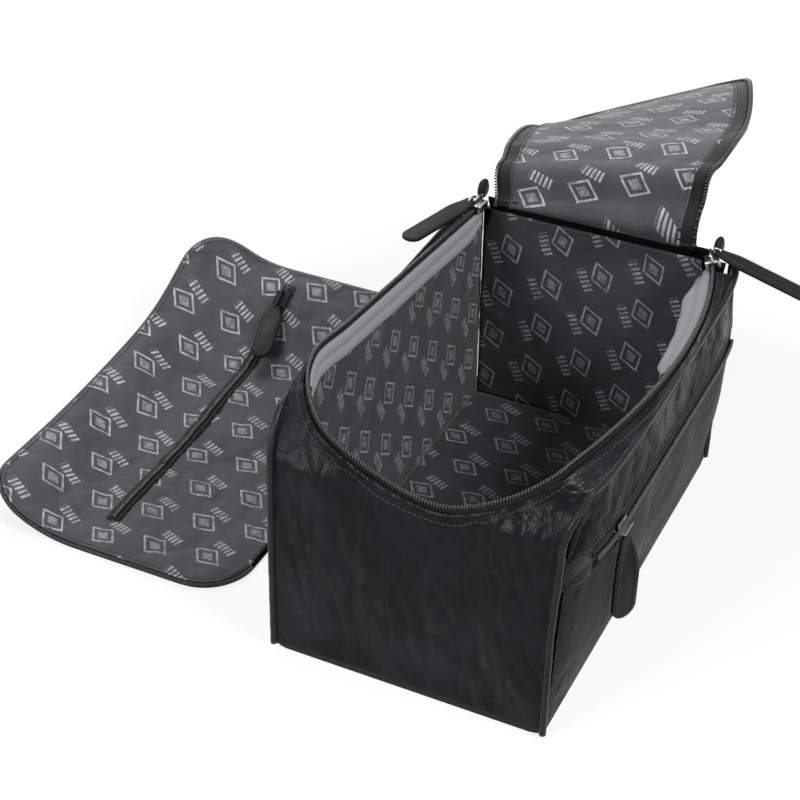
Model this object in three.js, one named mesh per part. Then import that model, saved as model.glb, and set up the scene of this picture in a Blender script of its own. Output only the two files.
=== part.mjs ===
// Leather toiletry bag with a zip-round lid thrown back over its far end, a zipped front
// pocket, and a back compartment whose lined cover lies open on the ground behind it.
// X runs along the bag, with the near end at minus X and the lid's hinge at plus X.
// The zipped pocket is on the front, minus Y, and the open cover is behind, plus Y.
// The origin is the middle of the underside, and plus Z is up. Sizes are in millimetres.
import * as THREE from 'three';

// The body
const bagLength = 264;
const bagWidth = 154;
const bagHeight = 152;
const halfLength = bagLength / 2;
const halfWidth = bagWidth / 2;
const leatherThick = 2.2;
const liningThick = 0.9;
const liningGap = 0.4;
const boardThick = 2.4;
const seatGap = 0.3;
const layerGap = 0.7;
const frontBulge = 14;
const backBulge = 5;
const bulgeHeight = 90;
const bulgeFallShare = 0.2;
const bulgeFallStart = 108;
const bulgeFallEnd = 150;
const endLean = 2;
const farLeanShare = 0.5;
const sidePower = 8;
const leanStart = 60;
const leanEnd = 120;
const nearShoulder = { radius: 28, start: 118 };
const farShoulder = { radius: 12, start: 135 };
const nearPanelTop = 139.5;
const pipingRadius = 1.9;
const pipeTopFront = 146;
const pipeTopBack = 145;
const pipeTopSag = 4;
const pipeTurnShare = 0.78;
const bottomCorner = 7;
const farPanelTop = 138;

// The rim of the main opening
const rimBackFarFromEnd = 11;
const rimBackFarFromSide = 5;
const rimBackFarZ = 146;
const rimBackFar = { x: halfLength - rimBackFarFromEnd, y: halfWidth - rimBackFarFromSide, z: rimBackFarZ };
const rimBackNearFromEnd = 54;
const rimBackNearOut = 2.5;
const rimBackNearZ = 156;
const rimBackNear = { x: rimBackNearFromEnd - halfLength, y: halfWidth + rimBackNearOut, z: rimBackNearZ };
const rimChordX = 12;
const rimChordFromSide = 8;
const rimChordZ = 147.3;
const rimChordMiddle = { x: rimChordX, y: rimChordFromSide - halfWidth, z: rimChordZ };
const rimChordFromEnd = 25;
const rimHalfChord = halfLength - rimChordFromEnd;
const rimSagitta = 19.8;
const rimTiltDegrees = 19;
const tapeThick = 0.8;
const tapeDrop = 7;
const tapeLean = 1.2;
const teethWide = 2.6;
const teethThick = 2.2;
const stripOverlap = 3.8;
const rimPieces = 60;
const flapEdgeSteps = 64;
const stripBelly = 2.4;
const stripNearFromEnd = 29;
const stripFarFromEnd = 26;
const stripNear = stripNearFromEnd - halfLength;
const stripFar = halfLength - stripFarFromEnd;
const facingTall = 15;
const facingThick = 1;
const facingTop = 8.2;
const facingInset = 2.2;
const facingNearFromEnd = 70;
const facingFrontNear = facingNearFromEnd - halfLength;
const facingFar = stripFar;
const liningTop = 120;
const nearLiningTop = 111;

// The lid, laid out flat as when it is shut; distances run from its hinge to its free end
const hingeFromEnd = 8;
const hingeX = halfLength - hingeFromEnd;
const hingeZ = 147;
const lidCentreY = 4;
const lidLength = 240;
const lidEndRadius = 30;
const lidHalfWidth = 60.5;
const lidFrontBow = 12;
const lidBackBow = 4;
const lidLeatherThick = 1.7;
const axisLift = 0.5;
const archFold = 28;
const middleFold = 58;
const endFold = 140;
const foldAt = { base: 0, arch: archFold, middle: middleFold, end: endFold };
const foldGap = 0.5;
const lidTapeWide = 5;
const lidTapeShow = 1.6;
const hingeNeckDegrees = 12;
const middleWedgeDegrees = 13;

// How far each stretch of the lid is turned from the one before it as the lid lies open,
// as turns about the X, Y and Z axes of the stretch before it
const lidTurnDegrees = {
  base: [-8, 119, -12],
  arch: [0, 54, 0],
  middle: [-1, 16, -11],
  end: [10.5, 8.5, 0],
};

// The hinge strip and the small tabs at the ends of the rim zip
const hingeStripTop = 146;
const hingeStripFromFront = 19;
const hingeStripFromBack = 17;
const hingeStripFront = hingeStripFromFront - halfWidth;
const hingeStripBack = halfWidth - hingeStripFromBack;
const tabLong = 9;
const tabTop = 156;
const tabThick = 2.4;
const tabOut = 2;
const tabBottom = 146.8;

// The front pocket and its zip
const pocketZipZ = 104;
const pocketZipFromEnd = 20;
const pocketZipNear = pocketZipFromEnd - halfLength;
const pocketZipFar = halfLength - pocketZipFromEnd;
const pocketTapeTall = 5.2;
const zipSlit = 1;
const yokeBottom = 110.4;
const pocketTop = 97.8;
const pocketBackSet = 6;
const pocketBackTop = 118;

// The carry handle on the far end
const handleSpan = 138;
const handleTall = 40;
const handleThick = 3.6;
const handleStand = 14;
const handleRamp = 20;
const handleFoot = 14;
const handleZ = 104;

// The back compartment: its zip, its floor strip and its open cover
const backZipInset = 9;
const backZipWide = 6;
const backZipTop = 136;
const backZipBottom = 10;
const floorStripWide = 40;
const floorStripFromNear = 74;
const floorStripFromFar = 28;
const floorStripNear = floorStripFromNear - halfLength;
const floorStripFar = halfLength - floorStripFromFar;
const flapFromNear = 20;
const flapPastFar = 18;
const flapNear = flapFromNear - halfLength;
const flapFar = halfLength + flapPastFar;
const flapInner = halfWidth + floorStripWide;
const flapWide = 164;
const flapOuter = flapInner + flapWide;
const flapCorner = 30;
const crowdShare = 0.7;
const flapThick = 2.2;
const flapFarCurl = 42;
const flapFarCurlLong = 112;
const flapFarCurlStart = flapFar - flapFarCurlLong;
const flapOuterCurl = 18;
const flapOuterCurlWide = 76;
const flapOuterCurlStart = flapOuter - flapOuterCurlWide;
const flapEdgeWide = 4.5;
const flapEdgeThick = 1;
const flapEdgeGap = 0.9;
const flapZipFromOuter = 72;
const flapZipFromNear = 28;
const flapZipFromFar = 14;
const flapZipY = flapOuter - flapZipFromOuter;
const flapZipNear = flapNear + flapZipFromNear;
const flapZipFar = flapFar - flapZipFromFar;
const flapTapeTall = 3.6;

// Sliders and pullers
const sliderLong = 11;
const sliderWide = 9;
const wingThick = 1.3;
const wingRoom = 0.6;
const postThick = 0.5;
const railRoom = 0.9;
const railWing = 2.2;
const railLeg = 2.3;
const bridgeRoom = 0.8;
const bailThick = 1.6;
const bailTall = 3.6;
const pullerThick = 2.4;
const pullerHead = 1;
const pullerClear = 1.9;
const frontPullerClear = 3.1;
const endPullerClear = 1.7;
const rimPuller = { long: 60, wide: 12, neckShare: 0.7 };
const pocketPuller = { long: 54, wide: 15, neckShare: 0.75 };
const flapPuller = { long: 42, wide: 13, neckShare: 0.4 };
const taperShare = 0.3;
const headOutShare = 0.12;
const sliderFromEnd = 7;
const pocketSliderFromNear = 32;
const pocketSliderX = pocketZipNear + pocketSliderFromNear;
const flapSliderFromFar = 10;
const flapSliderX = flapZipFar - flapSliderFromFar;

// Which way each puller lies from its slider, as shares of its length
const frontRimPullerShares = [0, -0.966, -0.259];
const backRimPullerShares = [-0.972, 0.235, 0.01];
const flapPullerShares = [-0.9, -0.2, -0.3];

// Shares of the body's half length, half width and height along the near end's dip
const nearRimShares = [
  [-0.76, 0.93, 0.998],
  [-0.886, 0.714, 0.934],
  [-0.939, 0.26, 0.842],
  [-0.955, -0.195, 0.809],
  [-0.917, -0.584, 0.882],
  [-0.82, -0.83, 0.955],
];

const right = Math.PI / 2;

const colours = {
  leather: 0x17181a,
  bottom: 0x151517,
  lining: 0x5c5d61,
  darkLining: 0x3b3c40,
  facing: 0x9a9ba0,
  tape: 0x0e0e10,
  teeth: 0x1a1a1c,
  metal: 0x9fa1a5,
  gunmetal: 0x4d4e52,
  board: 0x6d6a64,
};

function material(colour, roughness, metalness) {
  return new THREE.MeshStandardMaterial({ color: colour, roughness: roughness, metalness: metalness });
}

const finishes = {
  leather: () => material(colours.leather, 0.42, 0),
  bottom: () => material(colours.bottom, 0.6, 0),
  lining: () => material(colours.lining, 0.5, 0),
  darkLining: () => material(colours.darkLining, 0.55, 0),
  facing: () => material(colours.facing, 0.8, 0),
  tape: () => material(colours.tape, 0.85, 0),
  metal: () => material(colours.metal, 0.28, 1),
  gunmetal: () => material(colours.gunmetal, 0.35, 1),
  board: () => material(colours.board, 0.9, 0),
};

const bag = new THREE.Group();

function addMesh(parent, name, geometry, finish) {
  const mesh = new THREE.Mesh(geometry, finishes[finish]());
  mesh.name = name;
  parent.add(mesh);
  return mesh;
}

function mix(a, b, share) {
  return a + (b - a) * share;
}

// Crowds the steps of a sheet towards its two ends.
function spread(share) {
  return (1 - Math.cos(2 * right * share)) / 2;
}

function smooth(share) {
  const t = Math.min(1, Math.max(0, share));
  return t * t * (3 - 2 * t);
}

// Turns every face over if the solid came out inside out.
function facingOut(geometry) {
  const place = geometry.attributes.position;
  const index = geometry.index;
  const a = new THREE.Vector3();
  const b = new THREE.Vector3();
  const c = new THREE.Vector3();
  let volume = 0;
  for (let i = 0; i < index.count; i += 3) {
    a.fromBufferAttribute(place, index.getX(i));
    b.fromBufferAttribute(place, index.getX(i + 1));
    c.fromBufferAttribute(place, index.getX(i + 2));
    volume += a.dot(b.cross(c));
  }
  if (volume < 0) {
    for (let i = 0; i < index.count; i += 3) {
      const first = index.getX(i);
      index.setX(i, index.getX(i + 1));
      index.setX(i + 1, first);
    }
  }
  geometry.computeVertexNormals();
  return geometry;
}

// A sheet is a box of many small faces bent onto a surface. surface(u, v) gives the middle
// of the sheet for u and v from 0 to 1, and thickness(u, v) its thickness there.
function sheet(stepsU, stepsV, thickness, surface) {
  const geometry = new THREE.BoxGeometry(1, 1, 1, stepsU, stepsV, 1);
  const place = geometry.attributes.position;
  const step = 1 / 400;
  for (let i = 0; i < place.count; i++) {
    const u = place.getX(i) + 1 / 2;
    const v = place.getY(i) + 1 / 2;
    const side = place.getZ(i);
    const middle = surface(u, v);
    const alongU = surface(Math.min(1, u + step), v).sub(surface(Math.max(0, u - step), v));
    const alongV = surface(u, Math.min(1, v + step)).sub(surface(u, Math.max(0, v - step)));
    const normal = alongU.cross(alongV).normalize();
    middle.addScaledVector(normal, side * thickness(u, v));
    place.setXYZ(i, middle.x, middle.y, middle.z);
  }
  return facingOut(geometry);
}

const even = (thick) => () => thick;
const toothShare = 0.45;
const toothed = (u, v) => (v < toothShare ? teethThick : tapeThick);

// The outer faces of the body
function sideShare(x) {
  return 1 - Math.pow(Math.min(1, Math.abs(x / halfLength)), sidePower);
}

function riseShare(z) {
  const rise = Math.sin(right * Math.min(1, Math.max(0, z / bulgeHeight)));
  return rise * (1 - bulgeFallShare * smooth((z - bulgeFallStart) / (bulgeFallEnd - bulgeFallStart)));
}

function frontFace(x, z) {
  return -halfWidth - frontBulge * sideShare(x) * riseShare(z);
}

function backFace(x, z) {
  return halfWidth + backBulge * sideShare(x) * riseShare(z);
}

function shoulderIn(z, shoulder, inset) {
  const over = Math.max(0, z - shoulder.start);
  const reach = shoulder.radius - inset;
  return shoulder.radius - Math.sqrt(Math.max(0, reach * reach - over * over));
}

function lean(z) {
  return endLean * smooth((z - leanStart) / (leanEnd - leanStart));
}

// The outer faces of the two ends, or a line set in from them, with their rounded shoulders
function nearFace(z, inset = 0) {
  return -halfLength + lean(z) + shoulderIn(z, nearShoulder, inset);
}

function farFace(z, inset = 0) {
  return halfLength - lean(z) * farLeanShare - shoulderIn(z, farShoulder, inset);
}

// The rim: straight at the back, dipped round the near end, and a tilted arc in front
const rimTilt = THREE.MathUtils.degToRad(rimTiltDegrees);
const rimBow = new THREE.Vector3(0, -Math.cos(rimTilt), Math.sin(rimTilt));
const rimRadius = (rimHalfChord * rimHalfChord + rimSagitta * rimSagitta) / (2 * rimSagitta);
const rimHalfTurn = Math.asin(rimHalfChord / rimRadius);
const rimCentre = new THREE.Vector3(rimChordMiddle.x, rimChordMiddle.y, rimChordMiddle.z)
  .addScaledVector(rimBow, rimSagitta - rimRadius);

function rimArcPoint(turn) {
  return rimCentre.clone()
    .addScaledVector(rimBow, rimRadius * Math.cos(turn))
    .add(new THREE.Vector3(rimRadius * Math.sin(turn), 0, 0));
}

function rimBackPoint(share) {
  return new THREE.Vector3(
    mix(rimBackFar.x, rimBackNear.x, share),
    mix(rimBackFar.y, rimBackNear.y, share),
    mix(rimBackFar.z, rimBackNear.z, share),
  );
}

function makeRim() {
  const points = [];
  const backSteps = 6;
  for (let i = 0; i <= backSteps; i++) {
    points.push(rimBackPoint(i / backSteps));
  }
  for (const [x, y, z] of nearRimShares) {
    points.push(new THREE.Vector3(x * halfLength, y * halfWidth, z * bagHeight));
  }
  const arcSteps = 10;
  for (let i = 0; i <= arcSteps; i++) {
    points.push(rimArcPoint(mix(-rimHalfTurn, rimHalfTurn, i / arcSteps)));
  }
  return new THREE.CatmullRomCurve3(points, false, 'centripetal');
}

const rim = makeRim();
const rimSteps = 120;
const rimSamples = rim.getPoints(rimSteps);

// The level direction out of the opening, square to the rim
function rimOutward(t) {
  const along = rim.getTangent(t);
  return new THREE.Vector3(-along.y, along.x, 0).normalize().negate();
}

function rimShareAt(x, wantFront) {
  for (let i = 1; i <= rimSteps; i++) {
    const before = rimSamples[i - 1];
    const after = rimSamples[i];
    const isThere = (before.x - x) * (after.x - x) <= 0;
    if (isThere && (after.y < 0) === wantFront) {
      return (i - (after.x - x) / (after.x - before.x)) / rimSteps;
    }
  }
  return wantFront ? 1 : 0;
}

function rimHeightAtY(y) {
  const half = rimSteps / 2;
  let best = rimSamples[half];
  for (const point of rimSamples) {
    if (point.x < -halfLength / 2 && Math.abs(point.y - y) < Math.abs(best.y - y)) {
      best = point;
    }
  }
  return best.z;
}

function pipeTop(x, top) {
  return top - pipeTopSag * (1 - (x / halfLength) * (x / halfLength));
}

// Underside, board and the four walls
const wallBottom = leatherThick + seatGap;
const pipeSeat = pipingRadius + seatGap;
const panelSet = leatherThick / 2 + pipeSeat;
const liningSet = leatherThick + layerGap + liningThick / 2;
const liningFloor = wallBottom + boardThick + seatGap;

function makeBottom() {
  const outline = new THREE.Shape();
  const corner = bottomCorner;
  outline.moveTo(-halfLength + corner, -halfWidth);
  outline.lineTo(halfLength - corner, -halfWidth);
  outline.quadraticCurveTo(halfLength, -halfWidth, halfLength, -halfWidth + corner);
  outline.lineTo(halfLength, halfWidth - corner);
  outline.quadraticCurveTo(halfLength, halfWidth, halfLength - corner, halfWidth);
  outline.lineTo(-halfLength + corner, halfWidth);
  outline.quadraticCurveTo(-halfLength, halfWidth, -halfLength, halfWidth - corner);
  outline.lineTo(-halfLength, -halfWidth + corner);
  outline.quadraticCurveTo(-halfLength, -halfWidth, -halfLength + corner, -halfWidth);
  const options = { depth: leatherThick, bevelEnabled: false, curveSegments: 3 };
  const bottom = new THREE.ExtrudeGeometry(outline, options);
  addMesh(bag, 'bottom_panel', bottom, 'bottom');
}

const boardInset = leatherThick + layerGap;

function makeBoard() {
  const board = new THREE.BoxGeometry(
    bagLength - 2 * (boardInset + seatGap),
    bagWidth - 2 * (boardInset + seatGap),
    boardThick,
  );
  addMesh(bag, 'base_board', board, 'board').position.z = wallBottom + boardThick / 2;
}

function makeEndPanel(name, endFace, inward, top, stepsU, stepsV) {
  const surface = (u, v) => {
    const width = mix(frontFace(endFace(top(0)), bulgeHeight), backFace(endFace(top(0)), bulgeHeight), u);
    const z = mix(wallBottom, top(width), v);
    const x = endFace(z);
    const y = mix(frontFace(x, z) + panelSet, backFace(x, z) - panelSet, u);
    return new THREE.Vector3(x + inward * leatherThick / 2, y, z);
  };
  addMesh(bag, name, sheet(stepsU, stepsV, even(leatherThick), surface), 'leather');
}

function makeEndPanels() {
  const nearTop = (y) => Math.min(rimHeightAtY(y) - tapeDrop / 2 - seatGap, nearPanelTop);
  makeEndPanel('near_end_panel', nearFace, 1, nearTop, 18, 9);
  makeEndPanel('far_end_panel', farFace, -1, () => farPanelTop, 6, 9);
}

// The front and back walls end a little inside the piping all the way round
function makeFaceSheet(name, face, inward, low, high, finish, stepsV, inset) {
  const set = panelSet + seatGap + inset;
  const runEnd = halfLength - nearShoulder.radius;
  const surface = (u, v) => {
    const z = mix(low, high(mix(-runEnd, runEnd, u)), v);
    const x = mix(nearFace(z, set), farFace(z, set), spread(u));
    return new THREE.Vector3(x, face(x, z) + inward * leatherThick / 2, z);
  };
  addMesh(bag, name, sheet(16, stepsV, even(leatherThick), surface), finish);
}

function makeFrontPanels() {
  const yokeTop = (x) => pipeTop(x, pipeTopFront) - pipeSeat - layerGap;
  makeFaceSheet('front_yoke', frontFace, 1, yokeBottom, yokeTop, 'leather', 4, 0);
  makeFaceSheet('front_pocket_panel', frontFace, 1, wallBottom, () => pocketTop, 'leather', 8, 0);
  const behind = (x, z) => frontFace(x, z) + pocketBackSet;
  makeFaceSheet('pocket_back_wall', behind, 1, liningFloor, () => pocketBackTop, 'darkLining', 6, seatGap);
}

function makeBackPanel() {
  const top = (x) => pipeTop(x, pipeTopBack) - pipeSeat - layerGap;
  makeFaceSheet('back_panel', backFace, -1, wallBottom, top, 'leather', 9, 0);
}

// Piping: one cord up the near edge, along the top and down the far edge of each side
const pipeSet = leatherThick / 2;

function pipePoint(face, outward, x, z) {
  return new THREE.Vector3(x, face(x, z) - outward * pipeSet, z);
}

function pipeUpright(face, outward, endFace, inward, shoulder) {
  const points = [];
  const straightSteps = 4;
  for (let i = 0; i <= straightSteps; i++) {
    const z = mix(wallBottom, shoulder.start, i / straightSteps);
    points.push(pipePoint(face, outward, endFace(z) + inward * pipeSet, z));
  }
  const turnSteps = 4;
  for (let i = 1; i <= turnSteps; i++) {
    const turn = right * pipeTurnShare * i / turnSteps;
    const z = shoulder.start + (shoulder.radius - pipeSet) * Math.sin(turn);
    points.push(pipePoint(face, outward, endFace(z, pipeSet), z));
  }
  return points;
}

function ringSection(radius, sides) {
  const section = new THREE.Shape();
  section.moveTo(radius, 0);
  for (let i = 1; i < sides; i++) {
    const turn = 4 * right * i / sides;
    section.lineTo(radius * Math.cos(turn), radius * Math.sin(turn));
  }
  section.closePath();
  return section;
}

function makePiping(name, face, outward, top) {
  const nearSide = pipeUpright(face, outward, nearFace, 1, nearShoulder);
  const farSide = pipeUpright(face, outward, farFace, -1, farShoulder).reverse();
  const run = [];
  const fromX = -halfLength + endLean + nearShoulder.radius;
  const toX = halfLength - endLean - farShoulder.radius;
  const runSteps = 8;
  for (let i = 0; i <= runSteps; i++) {
    const x = mix(fromX, toX, i / runSteps);
    run.push(pipePoint(face, outward, x, pipeTop(x, top)));
  }
  const line = new THREE.CatmullRomCurve3([...nearSide, ...run, ...farSide], false, 'centripetal');
  const shape = ringSection(pipingRadius, 6);
  const cord = new THREE.ExtrudeGeometry(shape, { steps: 56, extrudePath: line, bevelEnabled: false });
  addMesh(bag, name, cord, 'leather');
}

// The leather strips between the piping and the rim zip
function stripSurface(face, outward, top, fromX, toX) {
  return (u, v) => {
    const x = mix(fromX, toX, u);
    const low = pipePoint(face, outward, x, pipeTop(x, top));
    const t = rimShareAt(x, outward < 0);
    const high = rim.getPoint(t);
    high.addScaledVector(rimOutward(t), tapeThick / 2 + tapeLean + layerGap + leatherThick / 2);
    high.z -= stripOverlap;
    high.x = x;
    const across = high.clone().sub(low).normalize();
    low.addScaledVector(across, pipeSeat + leatherThick / 2 + layerGap);
    low.y += outward * stripBelly * across.z;
    return low.lerp(high, v);
  };
}

function makeStrips() {
  const front = stripSurface(frontFace, -1, pipeTopFront, stripNear, stripFar);
  addMesh(bag, 'front_top_strip', sheet(22, 1, even(leatherThick), front), 'leather');
  const back = stripSurface(backFace, 1, pipeTopBack, stripNear, stripFar);
  addMesh(bag, 'back_top_strip', sheet(22, 1, even(leatherThick), back), 'leather');
}

// The rim zip's tape stands on the rim with its teeth along the top
function makeRimZip() {
  const tape = (u, v) => {
    const point = rim.getPoint(u);
    const out = rimOutward(u);
    point.addScaledVector(out, tapeLean * v);
    point.z -= teethWide + seatGap + (tapeDrop - teethWide) * v;
    return point;
  };
  addMesh(bag, 'rim_zip_tape', sheet(rimPieces, 1, even(tapeThick), tape), 'tape');
  const teeth = (u, v) => {
    const point = rim.getPoint(u);
    point.z -= teethWide * v;
    return point;
  };
  addMesh(bag, 'rim_zip_teeth', sheet(rimPieces, 1, even(teethThick), teeth), 'gunmetal');
}

// The pale facing inside the rim, along the back and along the front
function makeFacing(name, from, to) {
  const surface = (u, v) => {
    const t = mix(from, to, u);
    const point = rim.getPoint(t);
    point.addScaledVector(rimOutward(t), -facingInset - facingThick / 2);
    point.z -= facingTop + facingTall * v;
    return point;
  };
  addMesh(bag, name, sheet(16, 1, even(facingThick), surface), 'facing');
}

function makeFacings() {
  makeFacing('back_facing', rimShareAt(facingFar, false), rimShareAt(rimBackNear.x, false));
  makeFacing('front_facing', rimShareAt(facingFrontNear, true), rimShareAt(facingFar, true));
}

// The lining inside the main compartment
function makeLinings() {
  const low = liningFloor + liningThick + seatGap;
  const pocketSet = pocketBackSet + leatherThick + liningThick;
  const endRoom = liningSet + liningThick / 2 + liningGap;
  const floorWide = bagWidth - 2 * (pocketSet + endRoom);
  const floor = new THREE.BoxGeometry(bagLength - 2 * endRoom, floorWide, liningThick);
  addMesh(bag, 'lining_floor', floor, 'darkLining').position.z = liningFloor + liningThick / 2;
  const endLining = (name, endFace, inward, top) => {
    const surface = (u, v) => {
      const z = mix(low, top, v);
      const x = endFace(z) + inward * liningSet;
      const y = mix(frontFace(x, z) + pocketSet + endRoom, backFace(x, z) - endRoom, u);
      return new THREE.Vector3(x, y, z);
    };
    addMesh(bag, name, sheet(6, 6, even(liningThick), surface), 'darkLining');
  };
  endLining('lining_near', nearFace, 1, nearLiningTop);
  endLining('lining_far', farFace, -1, liningTop);
  const sideLining = (name, face, inward, set) => {
    const surface = (u, v) => {
      const z = mix(low, liningTop, v);
      const x = mix(nearFace(z) + endRoom, farFace(z) - endRoom, spread(u));
      return new THREE.Vector3(x, face(x, z) + inward * set, z);
    };
    addMesh(bag, name, sheet(14, 6, even(liningThick), surface), 'darkLining');
  };
  sideLining('lining_front', frontFace, 1, liningSet + pocketSet);
  sideLining('lining_back', backFace, -1, liningSet);
}

// The hinge strip on the far end and the tabs over the ends of the rim zip
function makeHingeStrip() {
  const bottom = farPanelTop + layerGap;
  const surface = (u, v) => {
    const y = mix(hingeStripFront, hingeStripBack, u);
    const z = mix(bottom, hingeStripTop, v);
    const x = mix(farFace(bottom) - leatherThick / 2, hingeX + seatGap + leatherThick / 2, smooth(v));
    return new THREE.Vector3(x, y, z);
  };
  addMesh(bag, 'hinge_strip', sheet(6, 4, even(leatherThick), surface), 'leather');
}

function makeTab(name, end, outward) {
  const tab = new THREE.BoxGeometry(tabLong, tabThick, tabTop - tabBottom);
  const mesh = addMesh(bag, name, tab, 'leather');
  mesh.position.set(end.x + liningGap + tabLong / 2, end.y + outward * tabOut, (tabTop + tabBottom) / 2);
}

function makeTabs() {
  makeTab('zip_end_tab_back', rimBackPoint(0), 1);
  makeTab('zip_end_tab_front', rimArcPoint(rimHalfTurn), -1);
}

// The front pocket's zip: two tapes with their teeth, and a narrow slit between them
function makePocketZip() {
  const half = (name, upward) => {
    const surface = (u, v) => {
      const x = mix(pocketZipNear, pocketZipFar, u);
      const z = pocketZipZ + upward * (zipSlit / 2 + pocketTapeTall * v);
      return new THREE.Vector3(x, frontFace(x, pocketZipZ) + leatherThick / 2 + tapeThick, z);
    };
    addMesh(bag, name, sheet(16, 3, toothed, surface), 'tape');
  };
  half('pocket_zip_upper', 1);
  half('pocket_zip_lower', -1);
}

// The carry handle: a flat strap sewn down at both ends and standing off the far end
function makeHandle() {
  const foot = farFace(handleZ) + seatGap + handleThick / 2;
  const surface = (u, v) => {
    const y = mix(-handleSpan / 2, handleSpan / 2, u);
    const fromEnd = handleSpan / 2 - Math.abs(y) - handleFoot;
    const stand = handleStand * smooth(fromEnd / handleRamp);
    const z = handleZ + handleTall * (v - 1 / 2);
    return new THREE.Vector3(foot + stand + (farFace(z) - farFace(handleZ)) * (1 - stand / handleStand), y, z);
  };
  addMesh(bag, 'handle_strap', sheet(28, 2, even(handleThick), surface), 'leather');
}

// The fixed half of the back compartment's zip, round three sides of the back panel
function backZipPath() {
  const near = -halfLength + backZipInset;
  const far = halfLength - backZipInset;
  const nearTurn = nearShoulder.radius;
  const farTurn = farShoulder.radius;
  const path = new THREE.Path();
  path.moveTo(near, backZipBottom);
  path.lineTo(near, backZipTop - nearTurn);
  path.absarc(near + nearTurn, backZipTop - nearTurn, nearTurn, 2 * right, right, true);
  path.lineTo(far - farTurn, backZipTop);
  path.absarc(far - farTurn, backZipTop - farTurn, farTurn, right, 0, true);
  path.lineTo(far, backZipBottom);
  return path;
}

// A band along a flat path, reaching inward from it
function pathBand(path, fromShare, toShare, wide, place) {
  return (u, v) => {
    const t = mix(fromShare, toShare, u);
    const point = path.getPointAt(t);
    const along = path.getTangentAt(t);
    return place(point.x + along.y * wide * v, point.y - along.x * wide * v);
  };
}

function makeBackZip() {
  const onBack = (x, z) => new THREE.Vector3(x, backFace(x, z) + layerGap + teethThick / 2, z);
  const surface = pathBand(backZipPath(), 0, 1, backZipWide, onBack);
  addMesh(bag, 'back_zip_half', sheet(44, 3, toothed, surface), 'tape');
}

// The strip under the back compartment, from the bag's back to the cover's hinge
function makeFloorStrip() {
  const strip = new THREE.BoxGeometry(
    floorStripFar - floorStripNear,
    floorStripWide - 2 * seatGap,
    flapThick,
  );
  const mesh = addMesh(bag, 'back_floor_strip', strip, 'leather');
  mesh.position.set((floorStripNear + floorStripFar) / 2, halfWidth + floorStripWide / 2, flapThick / 2);
}

// The cover of the back compartment, lying open with its lining up

function flapHeight(x, y) {
  const farShare = smooth((x - flapFarCurlStart) / (flapFar - flapFarCurlStart));
  const outShare = smooth((y - flapOuterCurlStart) / (flapOuter - flapOuterCurlStart));
  return flapFarCurl * farShare * farShare + flapOuterCurl * outShare * outShare;
}

function flapReach(x, inset) {
  const radius = flapCorner - inset;
  const over = Math.max(0, flapNear + flapCorner - x, x - flapFar + flapCorner);
  const cut = radius - Math.sqrt(Math.max(0, radius * radius - over * over));
  return { low: flapInner + inset + cut, high: flapOuter - inset - cut };
}

// The point that lies a given lift above the cover's underside, square to it
function onFlap(x, y, lift) {
  const step = flapThick;
  const slopeX = (flapHeight(x + step, y) - flapHeight(x - step, y)) / (2 * step);
  const slopeY = (flapHeight(x, y + step) - flapHeight(x, y - step)) / (2 * step);
  const normal = new THREE.Vector3(-slopeX, -slopeY, 1).normalize();
  return new THREE.Vector3(x, y, flapHeight(x, y)).addScaledVector(normal, lift);
}

function flapSurface(inset, lift) {
  return (u, v) => {
    const x = mix(flapNear + inset, flapFar - inset, mix(u, spread(u), crowdShare));
    const reach = flapReach(x, inset);
    return onFlap(x, mix(reach.low, reach.high, v), lift);
  };
}

function flapOutline() {
  const path = new THREE.Path();
  const r = flapCorner;
  path.moveTo(flapNear + r + seatGap, flapInner);
  path.absarc(flapNear + r, flapInner + r, r, -right, -2 * right, true);
  path.lineTo(flapNear, flapOuter - r);
  path.absarc(flapNear + r, flapOuter - r, r, 2 * right, right, true);
  path.lineTo(flapFar - r, flapOuter);
  path.absarc(flapFar - r, flapOuter - r, r, right, 0, true);
  path.lineTo(flapFar, flapInner + r);
  path.absarc(flapFar - r, flapInner + r, r, 0, -right, true);
  return path;
}

const flapGap = layerGap;
const flapLiningTop = flapThick + flapGap + liningThick;

function makeFlap(parent) {
  addMesh(parent, 'flap_leather', sheet(18, 10, even(flapThick), flapSurface(0, flapThick / 2)), 'leather');
  const liningLift = flapLiningTop - liningThick / 2;
  const inset = flapEdgeWide + layerGap;
  addMesh(parent, 'flap_lining', sheet(18, 10, even(liningThick), flapSurface(inset, liningLift)), 'lining');
  const edgeLift = flapThick + flapEdgeGap + flapEdgeThick / 2;
  const edge = pathBand(flapOutline(), 0, 1, flapEdgeWide, (x, y) => onFlap(x, y, edgeLift));
  addMesh(parent, 'flap_zip_half', sheet(flapEdgeSteps, 1, even(flapEdgeThick), edge), 'tape');
}

function makeFlapZip(parent) {
  const lift = flapLiningTop + flapGap + teethThick / 2;
  const half = (name, outward) => {
    const surface = (u, v) => {
      const x = mix(flapZipNear, flapZipFar, u);
      return onFlap(x, flapZipY + outward * (zipSlit / 2 + flapTapeTall * v), lift);
    };
    addMesh(parent, name, sheet(18, 3, toothed, surface), 'tape');
  };
  half('flap_pocket_zip_outer', 1);
  half('flap_pocket_zip_inner', -1);
}

// The lid: four stretches, each a group that turns about the fold before it. In a group's
// own frame the stretch lies flat as when the lid is shut, reaching to minus X from its fold.
const lidUnder = axisLift + lidLeatherThick + seatGap;

function lidHalf(distance, side) {
  const straight = lidLength - lidEndRadius;
  const share = Math.min(1, distance / straight);
  const bow = 4 * (side < 0 ? lidFrontBow : lidBackBow) * share * (1 - share);
  const over = Math.max(0, distance - straight);
  const round = Math.sqrt(Math.max(0, lidEndRadius * lidEndRadius - over * over));
  return lidHalfWidth + bow - lidEndRadius + round;
}

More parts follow.
